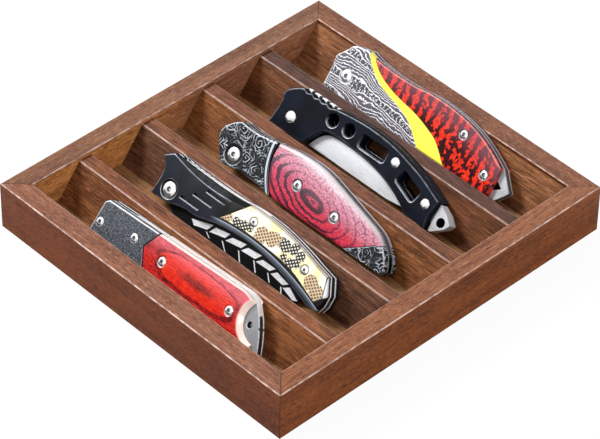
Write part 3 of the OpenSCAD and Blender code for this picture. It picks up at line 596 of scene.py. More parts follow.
@dataclass(frozen=True)
class BlastedBlade(Look):
    """A pale blade with painted shadow in a narrow band where the frame's lower curve lies over it."""

    top: Pair = (40.0, 12.1)
    tail_bend: Pair = (0.00075, 2.46)
    head_bend: Pair = (0.00032, 3.76)
    band: float = 1.7
    bevel: Pair = (0.057, 3.23)

    def draw(self, g: Graph, at: Flow) -> None:
        """Draws the look.

        Args:
            g: The graph that it is drawn on.
            at: The place on the knife, in millimetres.
        """
        l, s, _ = g.split(at)
        past = l - self.top[0]
        tail = g.most(past, 0.0) ** self.tail_bend[1] * self.tail_bend[0]
        before = g.most(past * -1.0, 0.0)
        head = before ** self.head_bend[1] * self.head_bend[0]
        under = self.top[1] - g.most(tail, head) - s
        brushed = g.brushed(at)
        cloud = g.noise(at, 0.14, 2.0)
        g.body = g.mix(g.step(brushed, 0.3, 0.7), "#b8bbc0", "#ced0d5")
        low = s + l * self.bevel[0]
        g.lay(g.step(low, self.bevel[1], self.bevel[1] - 0.1, 0.0, 0.7), "#8e939a")
        # Painted shadow: a grey fade, then a near-black band, along the frame's lower curve.
        g.lay(g.step(under, self.band + 1.4, self.band, 0.0, 0.35), "#8f949c")
        g.lay(g.step(under, self.band, self.band - 0.4), "#040506")
        rough = g.step(cloud, 0.3, 0.7, 0.36, 0.46)
        g.finish(rough, Metallic=0.2, Normal=g.bump(brushed, 0.01, 0.4))


@dataclass(frozen=True)
class Coating(Look):
    """A dark coated metal with a faint grain and a painted highlight on its edges, broken up in patches."""

    colour: str
    light: str
    rough: float = 0.42
    glint: float = 0.7
    well: Triple = (0.0, 0.0, 0.0)
    fold: Triple = (0.0, 0.0, 0.0)
    vents: tuple[Pair, ...] = ()
    vent_length: float = 12.4
    vent_half: float = 0.6
    lip_drop: float = 0.9
    arm: Triple = (0.0, 0.0, 0.0)
    arm_start: Pair = (38.0, 46.0)
    head_fade: Pair = (4.0, 8.0)
    opening_reach: float = 6.0
    gloss: float = 0.3
    openings: tuple[Pair, ...] = ()

    def draw(self, g: Graph, at: Flow) -> None:
        """Draws the look.

        Args:
            g: The graph that it is drawn on.
            at: The place on the knife, in millimetres.
        """
        fine = g.noise(at, 2.2, 2.0, 0.6)
        cloud = g.noise(at, 0.09, 3.0)
        g.body = g.mix(g.step(cloud, 0.3, 0.75, 0.0, 0.6), self.colour, self.light)
        g.lay(g.step(fine, 0.45, 0.3, 0.0, 0.35), "#08090c")
        l, s, n = g.split(at)
        # Painted highlight on the edges, broken up in patches; near openings it is strongest on their lower
        # sides, which look up.
        wear_and_glint = g.step(g.noise(at, 0.35, 3.0), 0.3, 0.6, 0.4, 1.0)
        lines = edge_glint(g, self.seat, self.glint) * wear_and_glint
        if self.openings:
            far, above = nearest(g, at, self.openings)
            lower = g.step(above / far, 0.2, -0.5, 0.22, 1.0)
            lines *= g.step(far, self.opening_reach + 0.8, self.opening_reach, 0.3, lower)
        if self.fold[2]:
            lines *= g.step(l, *self.head_fade, 0.35, 1.0)
        g.lay(lines, "#b4bac6")
        rough: Value = self.rough
        if self.openings:
            up = self.seat.facing(g, 0, 1, 0)
            rough = g.step(up, 0.5, 0.8, self.rough, 0.95)
        if self.fold[2]:
            rough = self.folded(g, at)
        # Painted shade: the sunk ring round the pivot is laid near black.
        if self.well[2]:
            g.lay(well(g, at, self.well), "#030304")
        # Painted shade on each vent's floor, laid near black, and a painted highlight along its lower lip.
        for vent_l, vent_s in self.vents:
            vent_end = vent_l + self.vent_length
            along = g.step(l, vent_l - 0.1, vent_l) * g.step(l, vent_end + 0.1, vent_end)
            across = g.step(abs(s - vent_s), self.vent_half + 0.02, self.vent_half - 0.02)
            g.lay(along * across * g.step(n, KNIFE_T - 0.15, KNIFE_T - 0.3), "#020203")
            lip = g.step(abs(s - (vent_s - self.lip_drop)), 0.32, 0.14, 0.0, 0.6)
            g.lay(along * lip, "#b4bac6")
        # The arm is flat in the model; its rounding is painted: a pale highlight line along the ridge, a soft
        # painted sheen below it and a near-black band above it, next to the inlay.
        if self.arm[2]:
            ridge = l - self.arm[0]
            ridge = ridge * ridge * self.arm[2]
            under = self.arm[1] - ridge - s
            front = g.step(l, *self.arm_start) * g.step(n, KNIFE_T - 2, KNIFE_T - 1)
            sheen = g.step(under, -0.1, 0.1) * g.step(under, 3.0, 0.0) ** 1.7
            g.lay(g.step(under, -0.1, -0.4) * front, "#040507")
            g.lay(sheen * (front * 0.42), "#8792a4")
            ridge = g.step(abs(under), 0.32, 0.1)
            g.lay(ridge * (front * 0.6), "#bcc4d2")
        g.finish(rough, Metallic=0.1, Specular_IOR_Level=self.gloss, Normal=g.bump(fine, 0.012, 0.5))

    def folded(self, g: Graph, at: Flow) -> Flow:
        """Paints shade on the band beyond the face's fold and a painted highlight along the fold.

        Args:
            g: The graph that it is drawn on.
            at: The place on the knife.

        Returns:
            The roughness, which is duller beyond the fold.
        """
        centre, radius = self.fold[:2], self.fold[2]
        far, _ = nearest(g, at, (centre,))
        inner = radius - far
        front = g.step(g.split(at)[2], KNIFE_T / 2, KNIFE_T / 2 + 1)
        beyond = g.step(inner, 0.0, 0.4) * front
        # Painted shade on the band beyond the fold, and a painted highlight along the fold.
        g.lay(beyond * 0.95, "#06090a")
        line = g.step(abs(inner), 0.3, 0.1)
        g.lay(line * (front * 0.32), "#9aa0b0")
        return g.step(beyond, 0.0, 1.0, self.rough, 0.95)


def edge_glint(g: Graph, seat: Seat, strength: float) -> Flow:
    """Finds the narrow slopes between a piece's face and its sides, for a painted highlight.

    Args:
        g: The graph that it is added to.
        seat: The knife that the piece is on.
        strength: The number given on the slopes.

    Returns:
        A number from 0 on flat parts to the strength on the slopes that look up the handle towards the lamps,
        and less on other slopes.
    """
    normal = g.normal()
    leaning = abs(g.dot(normal, seat.direction(0, 0, 1)))
    rise = g.step(leaning, 0.999, 0.975, 0.0, strength) * g.step(leaning, 0.62, 0.85)
    return rise * g.step(g.dot(normal, seat.direction(-0.3, 0.95, 0)), -0.1, 0.2, 0.12, 1.0)


def nearest(g: Graph, at: Flow, places: tuple[Pair, ...]) -> tuple[Flow, Flow]:
    """Finds the nearest of some places on the knife.

    Args:
        g: The graph that it is added to.
        at: The point on the knife.
        places: The places, along and across the handle.

    Returns:
        How far the point lies from the nearest place, and how far above it, in millimetres.
    """
    flat = at * (1, 1, 0)
    least: Flow | float = FAR_AWAY
    above: Flow | float = 0.0
    for place in places:
        offset = flat - (*place, 0)
        far = g.math("SQRT", g.dot(offset, offset))
        rise = g.split(offset)[1]
        closer = g.math("LESS_THAN", far, least)
        above = closer * rise + (1.0 - closer) * above
        least = g.math("MINIMUM", least, far)
    return least, above


def well(g: Graph, at: Flow, round_well: Triple) -> Flow:
    """Finds the sunk ring round a pivot, where it lies below the face.

    Args:
        g: The graph that it is added to.
        at: The point on the knife.
        round_well: The ring's place along and across the handle, and its radius.

    Returns:
        A number from 0 outside the ring to 1 in it.
    """
    far, _ = nearest(g, at, (round_well[:2],))
    below = g.step(abs(g.split(at)[2] - KNIFE_T / 2), KNIFE_T / 2 - 0.06, KNIFE_T / 2 - 0.16)
    return g.step(far, round_well[2], round_well[2] - 0.2) * below


@dataclass(frozen=True)
class Stonewash(Look):
    """Dark tumbled steel, speckled all over, with a painted highlight on its edges."""

    def draw(self, g: Graph, at: Flow) -> None:
        """Draws the look.

        Args:
            g: The graph that it is drawn on.
            at: The place on the knife, in millimetres.
        """
        specks = g.noise(at, 1.25, 4.0, 0.8)
        flecks = g.noise(at + (40, 9, 3), 1.6, 2.0, 0.6)
        g.body = g.mix(g.step(specks, 0.36, 0.6), "#0a0b0e", "#4e535c")
        g.lay(g.step(flecks, 0.56, 0.66, 0.0, 0.8), "#9096a0")
        # Painted highlight on the edges.
        g.lay(edge_glint(g, self.seat, 0.6), "#d4d6da")
        g.finish(0.5, Metallic=0.3, Normal=g.bump(specks, 0.06, 0.8))


@dataclass(frozen=True)
class RedLaminate(Look):
    """Polished red laminate whose dark grain runs round a long oval, with a cream scoop at its tail, a
    painted pink sheen towards the spine and a painted highlight on the faces that look up the handle.
    """

    centre: Pair = (66.5, 10.2)
    reach: Pair = (25.0, 7.0)
    heart: Pair = (2.4, 3.4)
    scoop: Triple = (105.4, 12.7, 11.75)

    def draw(self, g: Graph, at: Flow) -> None:
        """Draws the look.

        Args:
            g: The graph that it is drawn on.
            at: The place on the knife, in millimetres.
        """
        l, s, _ = g.split(at)
        fibres = g.noise(at * (0.22, 1.3, 1.0), 1.3, 4.0, 0.7)
        mottle = g.noise(at, 0.35, 3.0, 0.6)
        sway = (g.noise(at, 0.12, 3.0) - 0.5) * 0.7
        u = abs((l - self.centre[0]) / self.reach[0])
        v = abs((s - self.centre[1]) / self.reach[1])
        oval = (u ** 3.0 + v ** 3.0) ** (1 / 3) + sway * 0.5
        heart = g.math("SQRT", (u * self.heart[0]) ** 2.0 + (v * self.heart[1]) ** 2.0) + sway * 1.6
        g.body = g.mix(g.step(fibres, 0.32, 0.68), "#ac1410", "#ea3620")
        outer = g.mix(g.step(fibres, 0.35, 0.65), "#640a14", "#bc2c30")
        g.lay(g.step(oval, 0.85, 1.15) * g.step(s, 8.0, 13.0, 0.55, 1.0), outer)
        # Painted pink sheen towards the spine.
        g.lay(g.step(s, 11.5, 18.0, 0.0, 0.7) * g.step(fibres, 0.3, 0.62, 0.5, 1.0), "#e0707a")
        streak = g.noise(at * (0.1, 2.0, 1.0), 1.0, 3.0, 0.7)
        g.lay(g.step(streak, 0.44, 0.34) * g.step(s, 11.0, 14.0, 0.1, 0.4), "#5c1220")
        off = abs(oval - 1.0)
        ring = g.step(off - g.step(s, 10.0, 5.0, 0.0, 0.07), 0.075, 0.015, 0.0, 0.85)
        broken = g.step(mottle, 0.38, 0.6, 0.5, 1.0) * g.step(s, 12.0, 7.0, 0.8, 1.0)
        g.lay(ring * broken, "#380c16")
        g.lay(g.step(heart, 1.5, 0.5) * g.step(fibres, 0.3, 0.62, 0.95, 0.6), "#4e0a0d")
        # Painted highlight on the faces that look up the handle.
        above = self.seat.facing(g, 0, 1, 0)
        g.lay(g.step(above, 0.12, 0.6, 0.0, 0.85), "#cfc0b8")
        away, _ = nearest(g, at, (self.scoop[:2],))
        band = g.step(away, self.scoop[2] + 1.1, self.scoop[2] - 0.4)
        g.lay(band, g.mix(mottle, "#f6c8b6", "#fff6ee"))
        g.finish(0.26, Coat_Weight=0.5, Coat_Roughness=0.15, Normal=g.bump(fibres, 0.02, 0.3))


@dataclass(frozen=True)
class Snakeskin(Look):
    """Cream inlay with rows of small lozenge scales, some brown and some black."""

    pitch: float = 2.4
    browns: tuple[Triple, ...] = (
        (47.0, 11.8, 3.2), (68.5, 14.3, 4.3), (74.5, 16.0, 4.0), (79.5, 17.0, 3.0), (103.5, 10.0, 4.2),
        (108.0, 7.6, 4.0))
    blacks: tuple[Triple, ...] = (
        (53.5, 12.3, 2.8), (57.5, 13.0, 2.8), (61.0, 14.0, 2.2), (82.5, 17.0, 3.3), (87.5, 18.2, 2.9),
        (92.3, 17.0, 2.9), (92.2, 13.3, 2.4), (88.5, 11.2, 3.0), (84.6, 12.2, 2.1))
    end: float = 114.6

    def draw(self, g: Graph, at: Flow) -> None:
        """Draws the look.

        Args:
            g: The graph that it is drawn on.
            at: The place on the knife, in millimetres.
        """
        l, s, _ = g.split(at)
        across = s * 1.3
        u = (l + across) / self.pitch
        v = (l - across) / self.pitch
        half_u = abs(g.math("FRACT", u) - 0.5)
        half_v = abs(g.math("FRACT", v) - 0.5)
        corner = g.most(half_u, half_v)
        levels = ((0.45, 0.3), (0.38, 0.24), (0.3, 0.2))
        inside, dots, pips = (g.step(corner, outer, inner) for outer, inner in levels)
        ragged = (g.noise(at, 0.45, 2.0) - 0.5) * 3.4
        ground = g.mix(g.step(g.noise(at, 0.14, 3.0), 0.42, 0.62), "#fbf8e4", "#ece2a6")
        g.body = g.mix(self.patches(g, at, self.browns, ragged), ground, g.mix(dots, "#cdb694", "#523a2c"))
        g.lay(self.patches(g, at, self.blacks, ragged), g.mix(pips, "#0f0e14", "#e4e0d0"))
        # Painted shade along the inlay's rim, on the slopes of its edges.
        leaning = abs(self.seat.facing(g, 0, 0, 1))
        g.lay(g.step(leaning, 0.995, 0.9, 0.0, 0.7), "#4c4020")
        tail = l + s * 0.3
        g.lay(g.step(tail, self.end - 0.1, self.end + 0.1), "#d4d7dc")
        g.lay(g.step(abs(tail - self.end), 0.4, 0.1), "#202226")
        g.finish(0.3, Coat_Weight=0.5, Coat_Roughness=0.1, Normal=g.bump(inside, 0.04, 0.4))

    def patches(self, g: Graph, at: Flow, spots: tuple[Triple, ...], ragged: Flow) -> Flow:
        """Finds blots with ragged sides.

        Args:
            g: The graph that they are added to.
            at: The place on the knife.
            spots: Each blot's place along and across the handle, and its radius.
            ragged: How far the sides are moved, in millimetres.

        Returns:
            A number from 0 outside the blots to 1 in them.
        """
        found: Flow | float = 0.0
        for l, s, size in spots:
            away = nearest(g, at, ((l, s),))[0] + ragged
            found = g.most(found, g.step(away, size + 0.3, size - 0.5))
        return found


@dataclass(frozen=True)
class ScrollEngraving(Look):
    """Bright scrolls cut into darkened steel, with a painted highlight on its edges and painted shade in the
    sunk ring round the pivot.
    """

    well: Triple
    turns: float = 0.62
    size: float = 0.125
    joint: float = 31.7
    bend: float = 0.0066
    height: float = 24.0
    line_place: float = 1.6
    line_half: float = 0.6

    def draw(self, g: Graph, at: Flow) -> None:
        """Draws the look.

        Args:
            g: The graph that it is drawn on.
            at: The place on the knife, in millimetres.
        """
        bend = g.clouds(at, 0.17) - (0.5, 0.5, 0.5)
        bent = at + bend * (5.0, 5.0, 0.0)
        hearts = g.cells(bent, self.size, "Position", 0.9)
        away = bent * (1, 1, 0) - hearts
        x, y, _ = g.split(away)
        reach = g.math("SQRT", x * x + y * y)
        angle = g.math("ARCTAN2", y, x)
        turned = angle + reach * (2 * math.pi * self.turns)
        spiral = g.math("COSINE", turned)
        twin = g.math("COSINE", turned + 0.75)
        strokes = g.math("COSINE", angle * 6.0 - reach * 2.2)
        line = g.most(g.step(spiral, 0.8, 0.98), g.step(twin, 0.93, 0.99, 0.0, 0.4))
        nick = g.step(strokes, 0.7, 0.97) * g.step(reach, 2.2, 3.0, 0.0, 0.7)
        wear_and_glint = g.step(g.noise(at, 0.26, 3.0, 0.6), 0.41, 0.57, 0.06, 1.0)
        bright = self.border(g, at, g.most(line, nick) * wear_and_glint)
        g.body = g.mix(bright, "#06080c", "#c2cad6")
        # Painted highlight on the edges and painted shade in the sunk ring round the pivot.
        g.lay(edge_glint(g, self.seat, 0.55), "#ccd1d8")
        g.lay(well(g, at, self.well), "#040405")
        rough = g.step(bright, 0, 1, 0.55, 0.3)
        g.finish(rough, Metallic=0.15, Specular_IOR_Level=0.28, Normal=g.bump(bright, 0.15, 0.8))

    def border(self, g: Graph, at: Flow, bright: Flow) -> Flow:
        """Lays a bright line between two dark ones along the joint with the scale.

        Args:
            g: The graph that it is added to.
            at: The place on the knife.
            bright: How bright the engraving is so far.

        Returns:
            How bright it is with the line.
        """
        l, s, _ = g.split(at)
        drop = g.most(self.height - s, 0.0)
        curve = drop ** 2.3 * self.bend
        short = curve + self.joint - l
        dark = g.step(short, -0.6, -0.3) * g.step(short, 3.0, 2.6)
        bright *= (1.0 - dark)
        band = g.step(abs(short - self.line_place), self.line_half + 0.15, self.line_half - 0.15)
        return g.most(bright, band)


@dataclass(frozen=True)
class RingedLaminate(Look):
    """Polished red laminate cut across its layers, so dark rings run round one point; a painted gloss pales
    it towards the spine.
    """

    centre: Pair = (63.6, 10.3)
    stretch: float = 2.2
    pitch: float = 2.6

    def draw(self, g: Graph, at: Flow) -> None:
        """Draws the look.

        Args:
            g: The graph that it is drawn on.
            at: The place on the knife, in millimetres.
        """
        sway = g.noise(at, 0.1, 4.0, 0.6) - 0.5
        l, s, _ = g.split(at)
        u = (l - self.centre[0]) / self.stretch
        v = s - self.centre[1] + u * 0.3
        reach = g.math("SQRT", u * u + v * v) + sway * 3.4
        grains = g.noise(at, 1.3, 3.0, 0.75)
        wave = g.math("PINGPONG", (reach - 0.6) / self.pitch, 0.5) + (grains - 0.5) * 0.45
        low = g.step(u * 0.6 + v, 3.0, -5.0)
        width = low * 0.1 + 0.09
        dark = g.step(wave - width, 0.08, -0.06)
        dark *= (low * 0.25 + 0.72)
        heart = g.step(reach, 4.2, 3.3) * g.step(reach, 1.0, 2.2)
        vivid = g.mix(g.step(s, 4.0, 14.0), "#e63c4c", "#cc4a66")
        g.body = g.mix(g.step(grains, 0.32, 0.68), "#84163a", vivid)
        g.lay(dark, g.mix(grains, "#140c1c", "#3c1e38"))
        g.lay(heart * g.step(grains, 0.35, 0.6, 1.0, 0.78), "#100e1c")
        # Painted gloss: the scale pales towards the spine, less over the dark rings.
        high = s + g.most(u * 0.33, u * 0.28)
        shown = g.step(g.most(dark, heart), 0.0, 1.0, 1.0, 0.4)
        pale = g.step(high, 8.0, 19.0, 0.0, 0.6) * shown
        g.lay(pale * g.step(grains, 0.38, 0.56, 0.2, 1.0), "#cfaabb")
        white = g.step(high, 18.6, 23.2, 0.0, 0.72) * g.step(grains, 0.36, 0.56, 0.45, 1.0)
        g.lay(white, "#e2dadf")
        # Painted highlight on the faces that look up the handle.
        above = self.seat.facing(g, 0, 1, 0)
        g.lay(g.step(above, 0.1, 0.5, 0.0, 0.8), "#a39b9f")
        g.finish(0.34, Coat_Weight=0.25, Coat_Roughness=0.3, Normal=g.bump(grains, 0.03, 0.5))


@dataclass(frozen=True)
class FoldedSteel(Look):
    """Etched folded steel: bright wavy layers on dark grey, with rows of short rungs between them, and a
    painted highlight on its edges.
    """

    layers: float = 0.72
    rows: float = 8.0
    rungs: float = 0.42

    def draw(self, g: Graph, at: Flow) -> None:
        """Draws the look.

        Args:
            g: The graph that it is drawn on.
            at: The place on the knife, in millimetres.
        """
        l, s, _ = g.split(at)
        hills = g.noise(at * (0.06, 0.1, 0.0), 1.0, 1.0, 0.4)
        ripple = g.noise(at, 0.5, 2.0, 0.6)
        height = hills * 8.0 + s * self.layers + ripple * 1.2 + l * 0.05
        line = g.step(g.math("PINGPONG", height, 0.5), 0.33, 0.45)
        row = g.step(g.math("PINGPONG", height / self.rows, 0.5), 0.32, 0.35)
        rungs = l * self.rungs + ripple * 3.0
        rung = g.step(g.math("PINGPONG", rungs, 0.5), 0.38, 0.47)
        sides = row * (1.0 - row)
        line = g.most(g.step(row, 0.0, 1.0, line, rung), sides * 4.0)
        grit = g.noise(at, 1.6, 2.0, 0.7)
        g.body = g.mix(g.step(grit, 0.3, 0.7), "#2c2b34", "#6e6a78")
        g.lay(row * 0.5, "#1c1c21")
        g.lay(line, "#ececef")
        # Painted highlight on the edges.
        g.lay(edge_glint(g, self.seat, 0.6), "#e4e6ea")
        g.finish(0.38, Metallic=0.15, Normal=g.bump(line, 0.03, 0.5))


@dataclass(frozen=True)
class YellowResin(Look):
    """Bright yellow resin, faintly clouded and polished, with painted shade on the slopes along its sides."""

    def draw(self, g: Graph, at: Flow) -> None:
        """Draws the look.

        Args:
            g: The graph that it is drawn on.
            at: The place on the knife, in millimetres.
        """
        cloud = g.noise(at, 0.35, 3.0)
        g.body = g.mix(cloud, "#fff562", "#ffea3c")
        # Painted shade on the slopes of its edges.
        leaning = abs(self.seat.facing(g, 0, 0, 1))
        g.lay(g.step(leaning, 0.99, 0.9, 0.0, 0.55), "#8c7818")
        g.finish(0.3, Specular_IOR_Level=0.35, Normal=g.bump(cloud, 0.01, 0.3))


@dataclass(frozen=True)
class MottledResin(Look):
    """Red resin crossed by rows of dark blots, with a painted sheen towards the spine, painted shade on the
    faces that look up the handle and a painted highlight on its edges.
    """

    pitch: float = 5.45
    start: float = 0.27
    spine_bend: Pair = (60.0, 0.0043)

    def draw(self, g: Graph, at: Flow) -> None:
        """Draws the look.

        Args:
            g: The graph that it is drawn on.
            at: The place on the knife, in millimetres.
        """
        l, s, _ = g.split(at)
        sway = g.noise(at, 0.16, 2.0) - 0.5
        rows = l / self.pitch + (sway * 0.9 + self.start)
        wave = g.math("SINE", rows * (2 * math.pi))
        jitter = g.clouds(at, 0.9) * (1.6, 1.6, 0.0)
        clumps = g.split(g.cells(at + jitter, 0.62, "Color"))[0]
        wave *= g.step(s, 4.0, 18.0, 0.3, 0.5)
        dark = g.step(wave + clumps, 0.34, 0.48)
        shade = g.noise(at, 0.7, 3.0, 0.7)
        g.body = g.mix(g.step(shade, 0.35, 0.65), "#b0140c", "#ee3a1c")
        deep = g.mix(g.step(shade, 0.35, 0.65), "#080204", "#380a12")
        g.lay(dark * 0.98, deep)
        # Painted sheen that pales the scale towards its curved spine.
        bent = g.most(l - self.spine_bend[0], 0.0)
        up = bent * bent * self.spine_bend[1] + s
        g.lay(g.step(up, 13.0, 25.0, 0.0, 0.4), "#a0646e")
        # Painted shade on the faces that look up the handle, and a painted highlight on the edges.
        above = self.seat.facing(g, 0, 1, 0)
        g.lay(g.step(above, 0.7, 0.9, 0.0, 0.8), "#2a1214")
        g.lay(edge_glint(g, self.seat, 0.3), "#f0b8b0")
        g.finish(
            0.34, Specular_IOR_Level=0.15, Coat_Weight=0.05, Coat_Roughness=0.15,
            Normal=g.bump(shade, 0.012, 0.3))


@dataclass(frozen=True)
class BrightScrew(Look):
    """Polished steel for screws, pivots and rivets, with a painted dark reflection on each head's lower side
    and painted shade inside their recesses.
    """

    places: tuple[Pair, ...] = ()
    recess: float = 0.0
    radius: float = 2.0
    rough: float = 0.2

    def draw(self, g: Graph, at: Flow) -> None:
        """Draws the look.

        Args:
            g: The graph that it is drawn on.
            at: The place on the knife, in millimetres.
        """
        fine = g.noise(at, 1.6, 3.0, 0.6)
        g.body = g.mix(g.step(fine, 0.3, 0.7), "#e6e7e9", "#ffffff")
        if self.places:
            far, above = nearest(g, at, self.places)
            # Painted dark reflection on each head's lower side.
            low = g.step(above / far, -0.35, -0.75) * g.step(far, self.radius * 0.45, self.radius * 0.6)
            g.lay(low * g.step(far, self.radius * 1.02, self.radius * 0.88, 0.1, 0.85), "#1c1e22")
            # Painted shade in a ring inside the recess.
            if self.recess:
                rim = g.step(far, self.recess + 0.15, self.recess - 0.05)
                rim *= g.step(far, self.recess * 0.3, self.recess * 0.6)
                g.lay(rim * 0.75, "#2a2c30")
        g.finish(self.rough, Metallic=0.3, Normal=g.bump(fine, 0.004, 0.3))


@dataclass(frozen=True)
class RecessLip(Look):
    """The steel lip round a sunk screw, with a painted highlight on its lower side, which looks up, and
    painted shade above.
    """

    places: tuple[Pair, ...]

    def draw(self, g: Graph, at: Flow) -> None:
        """Draws the look.

        Args:
            g: The graph that it is drawn on.
            at: The place on the knife, in millimetres.
        """
        fine = g.noise(at, 1.6, 3.0, 0.6)
        far, above = nearest(g, at, self.places)
        # Painted highlight on the lower side and painted shade above it.
        low = g.step(above / far, 0.3, -0.6, 0.05, 0.85)
        g.body = g.mix(low, "#16171b", g.mix(fine, "#9ea1a8", "#d2d5da"))
        g.finish(0.25, Metallic=0.2, Normal=g.bump(fine, 0.004, 0.3))


def only(piece: Piece) -> None:
    """Selects one piece alone and makes it the active one.

    Args:
        piece: The piece.
    """
    bpy.ops.object.select_all(action="DESELECT")
    piece.select_set(True)
    bpy.context.view_layer.objects.active = piece


def apply_modifier(piece: Piece, kind: str, **settings: object) -> None:
    """Adds one modifier and applies it.

    Args:
        piece: The piece.
        kind: The modifier's kind.
        **settings: Its settings.
    """
    only(piece)
    modifier = piece.modifiers.new(kind.lower(), kind)
    for key, value in settings.items():
        setattr(modifier, key, value)
    bpy.ops.object.modifier_apply(modifier=modifier.name)


def weigh_edges(piece: Piece, angle: float, joins: bool) -> None:
    """Marks the edges that a rounding takes.

    Args:
        piece: The piece.
        angle: The least angle of an edge that is rounded, in radians.
        joins: Whether faces that look along a mitre keep their edges sharp.
    """
    shape = bmesh.new()
    shape.from_mesh(piece.data)
    weight = shape.edges.layers.float.new("bevel_weight_edge")
    for edge in shape.edges:
        normals = [face.normal for face in edge.link_faces]
        spreads = [max(abs(abs(n.x) - abs(n.y)), abs(n.z)) for n in normals]
        mitred = joins and any(spread < MITRE_SPREAD for spread in spreads)
        if len(normals) == 2 and not mitred and normals[0].angle(normals[1], 0.0) > angle:
            edge[weight] = 1.0
    shape.to_mesh(piece.data)
    shape.free()


def copied(node: str) -> Piece:
    """Copies a CAD node as a clean mesh that stands for it.

    Args:
        node: The node's name.

    Returns:
        The new piece, which replaces the node and rides on its body.
    """
    source = frame["nodes"][node]
    body = source["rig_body"]
    piece = source.copy()
    piece.data = source.data.copy()
    for key in list(piece.keys()):
        del piece[key]
    piece.parent = None
    piece.name = piece.data.name = node + "_finished"
    bpy.context.scene.collection.objects.link(piece)
    only(piece)
    bpy.ops.object.mode_set(mode="EDIT")
    bpy.ops.mesh.select_all(action="SELECT")
    bpy.ops.mesh.remove_doubles(threshold=MERGE_DISTANCE)
    bpy.ops.mesh.dissolve_limited(angle_limit=FLAT_ANGLE)
    bpy.ops.object.mode_set(mode="OBJECT")
    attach(piece, body)
    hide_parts(node)
    return piece


def rounded(piece: Piece, width: float, segments: int = 2, angle: float = 28.0, joins: bool = False) -> Piece:
    """Rounds a piece's sharp edges.

    Args:
        piece: The piece.
        width: The rounding's width, in millimetres.
        segments: How many facets the rounding has.
        angle: The least angle of an edge that is rounded, in degrees.
        joins: Whether the piece has mitred ends, whose edges stay sharp.

    Returns:
        The same piece.
    """
    weigh_edges(piece, math.radians(angle), joins)
    apply_modifier(
        piece, "BEVEL", width=width * MM, segments=segments, limit_method="WEIGHT",
        use_clamp_overlap=False, miter_outer="MITER_ARC")
    bpy.ops.object.shade_smooth_by_angle(angle=SMOOTH_ANGLE)
    apply_modifier(piece, "WEIGHTED_NORMAL", mode="FACE_AREA", weight=50, keep_sharp=True)
    return piece


@dataclass(frozen=True)
class Crown:
    """How far a cover's face falls away from its highest place towards its rim."""

    centre: Pair
    reach: Pair
    fall: float
    cuts: int = 9

    def shape(self, piece: Piece, seat: Seat) -> None:
        """Cuts a cover's face into a grid and lowers it towards the rim.

        Args:
            piece: The cover.
            seat: The knife that it is on.
        """
        only(piece)
        bpy.ops.object.mode_set(mode="EDIT")
        for axis in (0, 1):
            for step in range(self.cuts):
                share = 2 * (step + 0.5) / self.cuts - 1
                place = [*self.centre, KNIFE_T / 2]
                place[axis] += share * self.reach[axis]
                way = [0.0, 0.0, 0.0]
                way[axis] = 1.0
                bpy.ops.mesh.select_all(action="SELECT")
                bpy.ops.mesh.bisect(plane_co=seat.world(*place), plane_no=seat.direction(*way))
        bpy.ops.object.mode_set(mode="OBJECT")
        for vertex in piece.data.vertices:
            l, s, n = seat.local(vertex.co)
            off = ((l - self.centre[0]) / self.reach[0]) ** 2 + ((s - self.centre[1]) / self.reach[1]) ** 2
            above = max(abs(n - KNIFE_T / 2) - (COVER_LOW - KNIFE_T / 2), 0.0) / (KNIFE_T - COVER_LOW)
            fall = self.fall * min(off, 1.0) * above
            vertex.co = seat.world(l, s, n - math.copysign(fall, n - KNIFE_T / 2))


@dataclass(frozen=True)
class Fold:
    """A cover's face turned down along an arc, on the side nearer to the arc's centre."""

    centre: Pair
    radius: float
    slope: float = 0.5
    span: Pair = (3.0, 59.0)
    strips: int = 8

    def shape(self, piece: Piece, seat: Seat) -> None:
        """Cuts a cover's face along the arc and lowers what lies beyond it.

        Args:
            piece: The cover.
            seat: The knife that it is on.
        """
        start, end = self.span
        stops = [start + (end - start) * i / self.strips for i in range(self.strips + 1)]
        line = [(l, self.centre[1] - math.sqrt(self.radius ** 2 - (l - self.centre[0]) ** 2)) for l in stops]
        only(piece)
        for l, _ in line:
            self.cut(piece, seat, range(len(piece.data.polygons)), (l, 0.0), (1.0, 0.0))
        for (l, a), (m, b) in zip(line, line[1:]):
            middles = [seat.local(face.center).x for face in piece.data.polygons]
            strip = [index for index, middle in enumerate(middles) if l < middle < m]
            self.cut(piece, seat, strip, (l, a), (a - b, m - l))
        for vertex in piece.data.vertices:
            l, s, n = seat.local(vertex.co)
            beyond = self.radius - math.hypot(l - self.centre[0], s - self.centre[1])
            share = max(n - COVER_LOW, 0.0) / (KNIFE_T - COVER_LOW)
            vertex.co = seat.world(l, s, n - self.slope * max(beyond, 0.0) * share)

    def cut(self, piece: Piece, seat: Seat, faces: list[int] | range, place: tuple, way: tuple) -> None:
        """Cuts some of a piece's faces with one plane that stands on the handle.

        Args:
            piece: The piece, which is the active one.
            seat: The knife that it is on.
            faces: The faces' numbers.
            place: A place on the plane, along and across the handle.
            way: The plane's normal, along and across the handle.
        """
        bpy.ops.object.mode_set(mode="EDIT")
        bpy.ops.mesh.select_mode(type="FACE")
        bpy.ops.mesh.select_all(action="DESELECT")
        bpy.ops.object.mode_set(mode="OBJECT")
        for index in faces:
            piece.data.polygons[index].select = True
        bpy.ops.object.mode_set(mode="EDIT")
        bpy.ops.mesh.bisect(plane_co=seat.world(*place, 0), plane_no=seat.direction(*way, 0).normalized())
        bpy.ops.object.mode_set(mode="OBJECT")


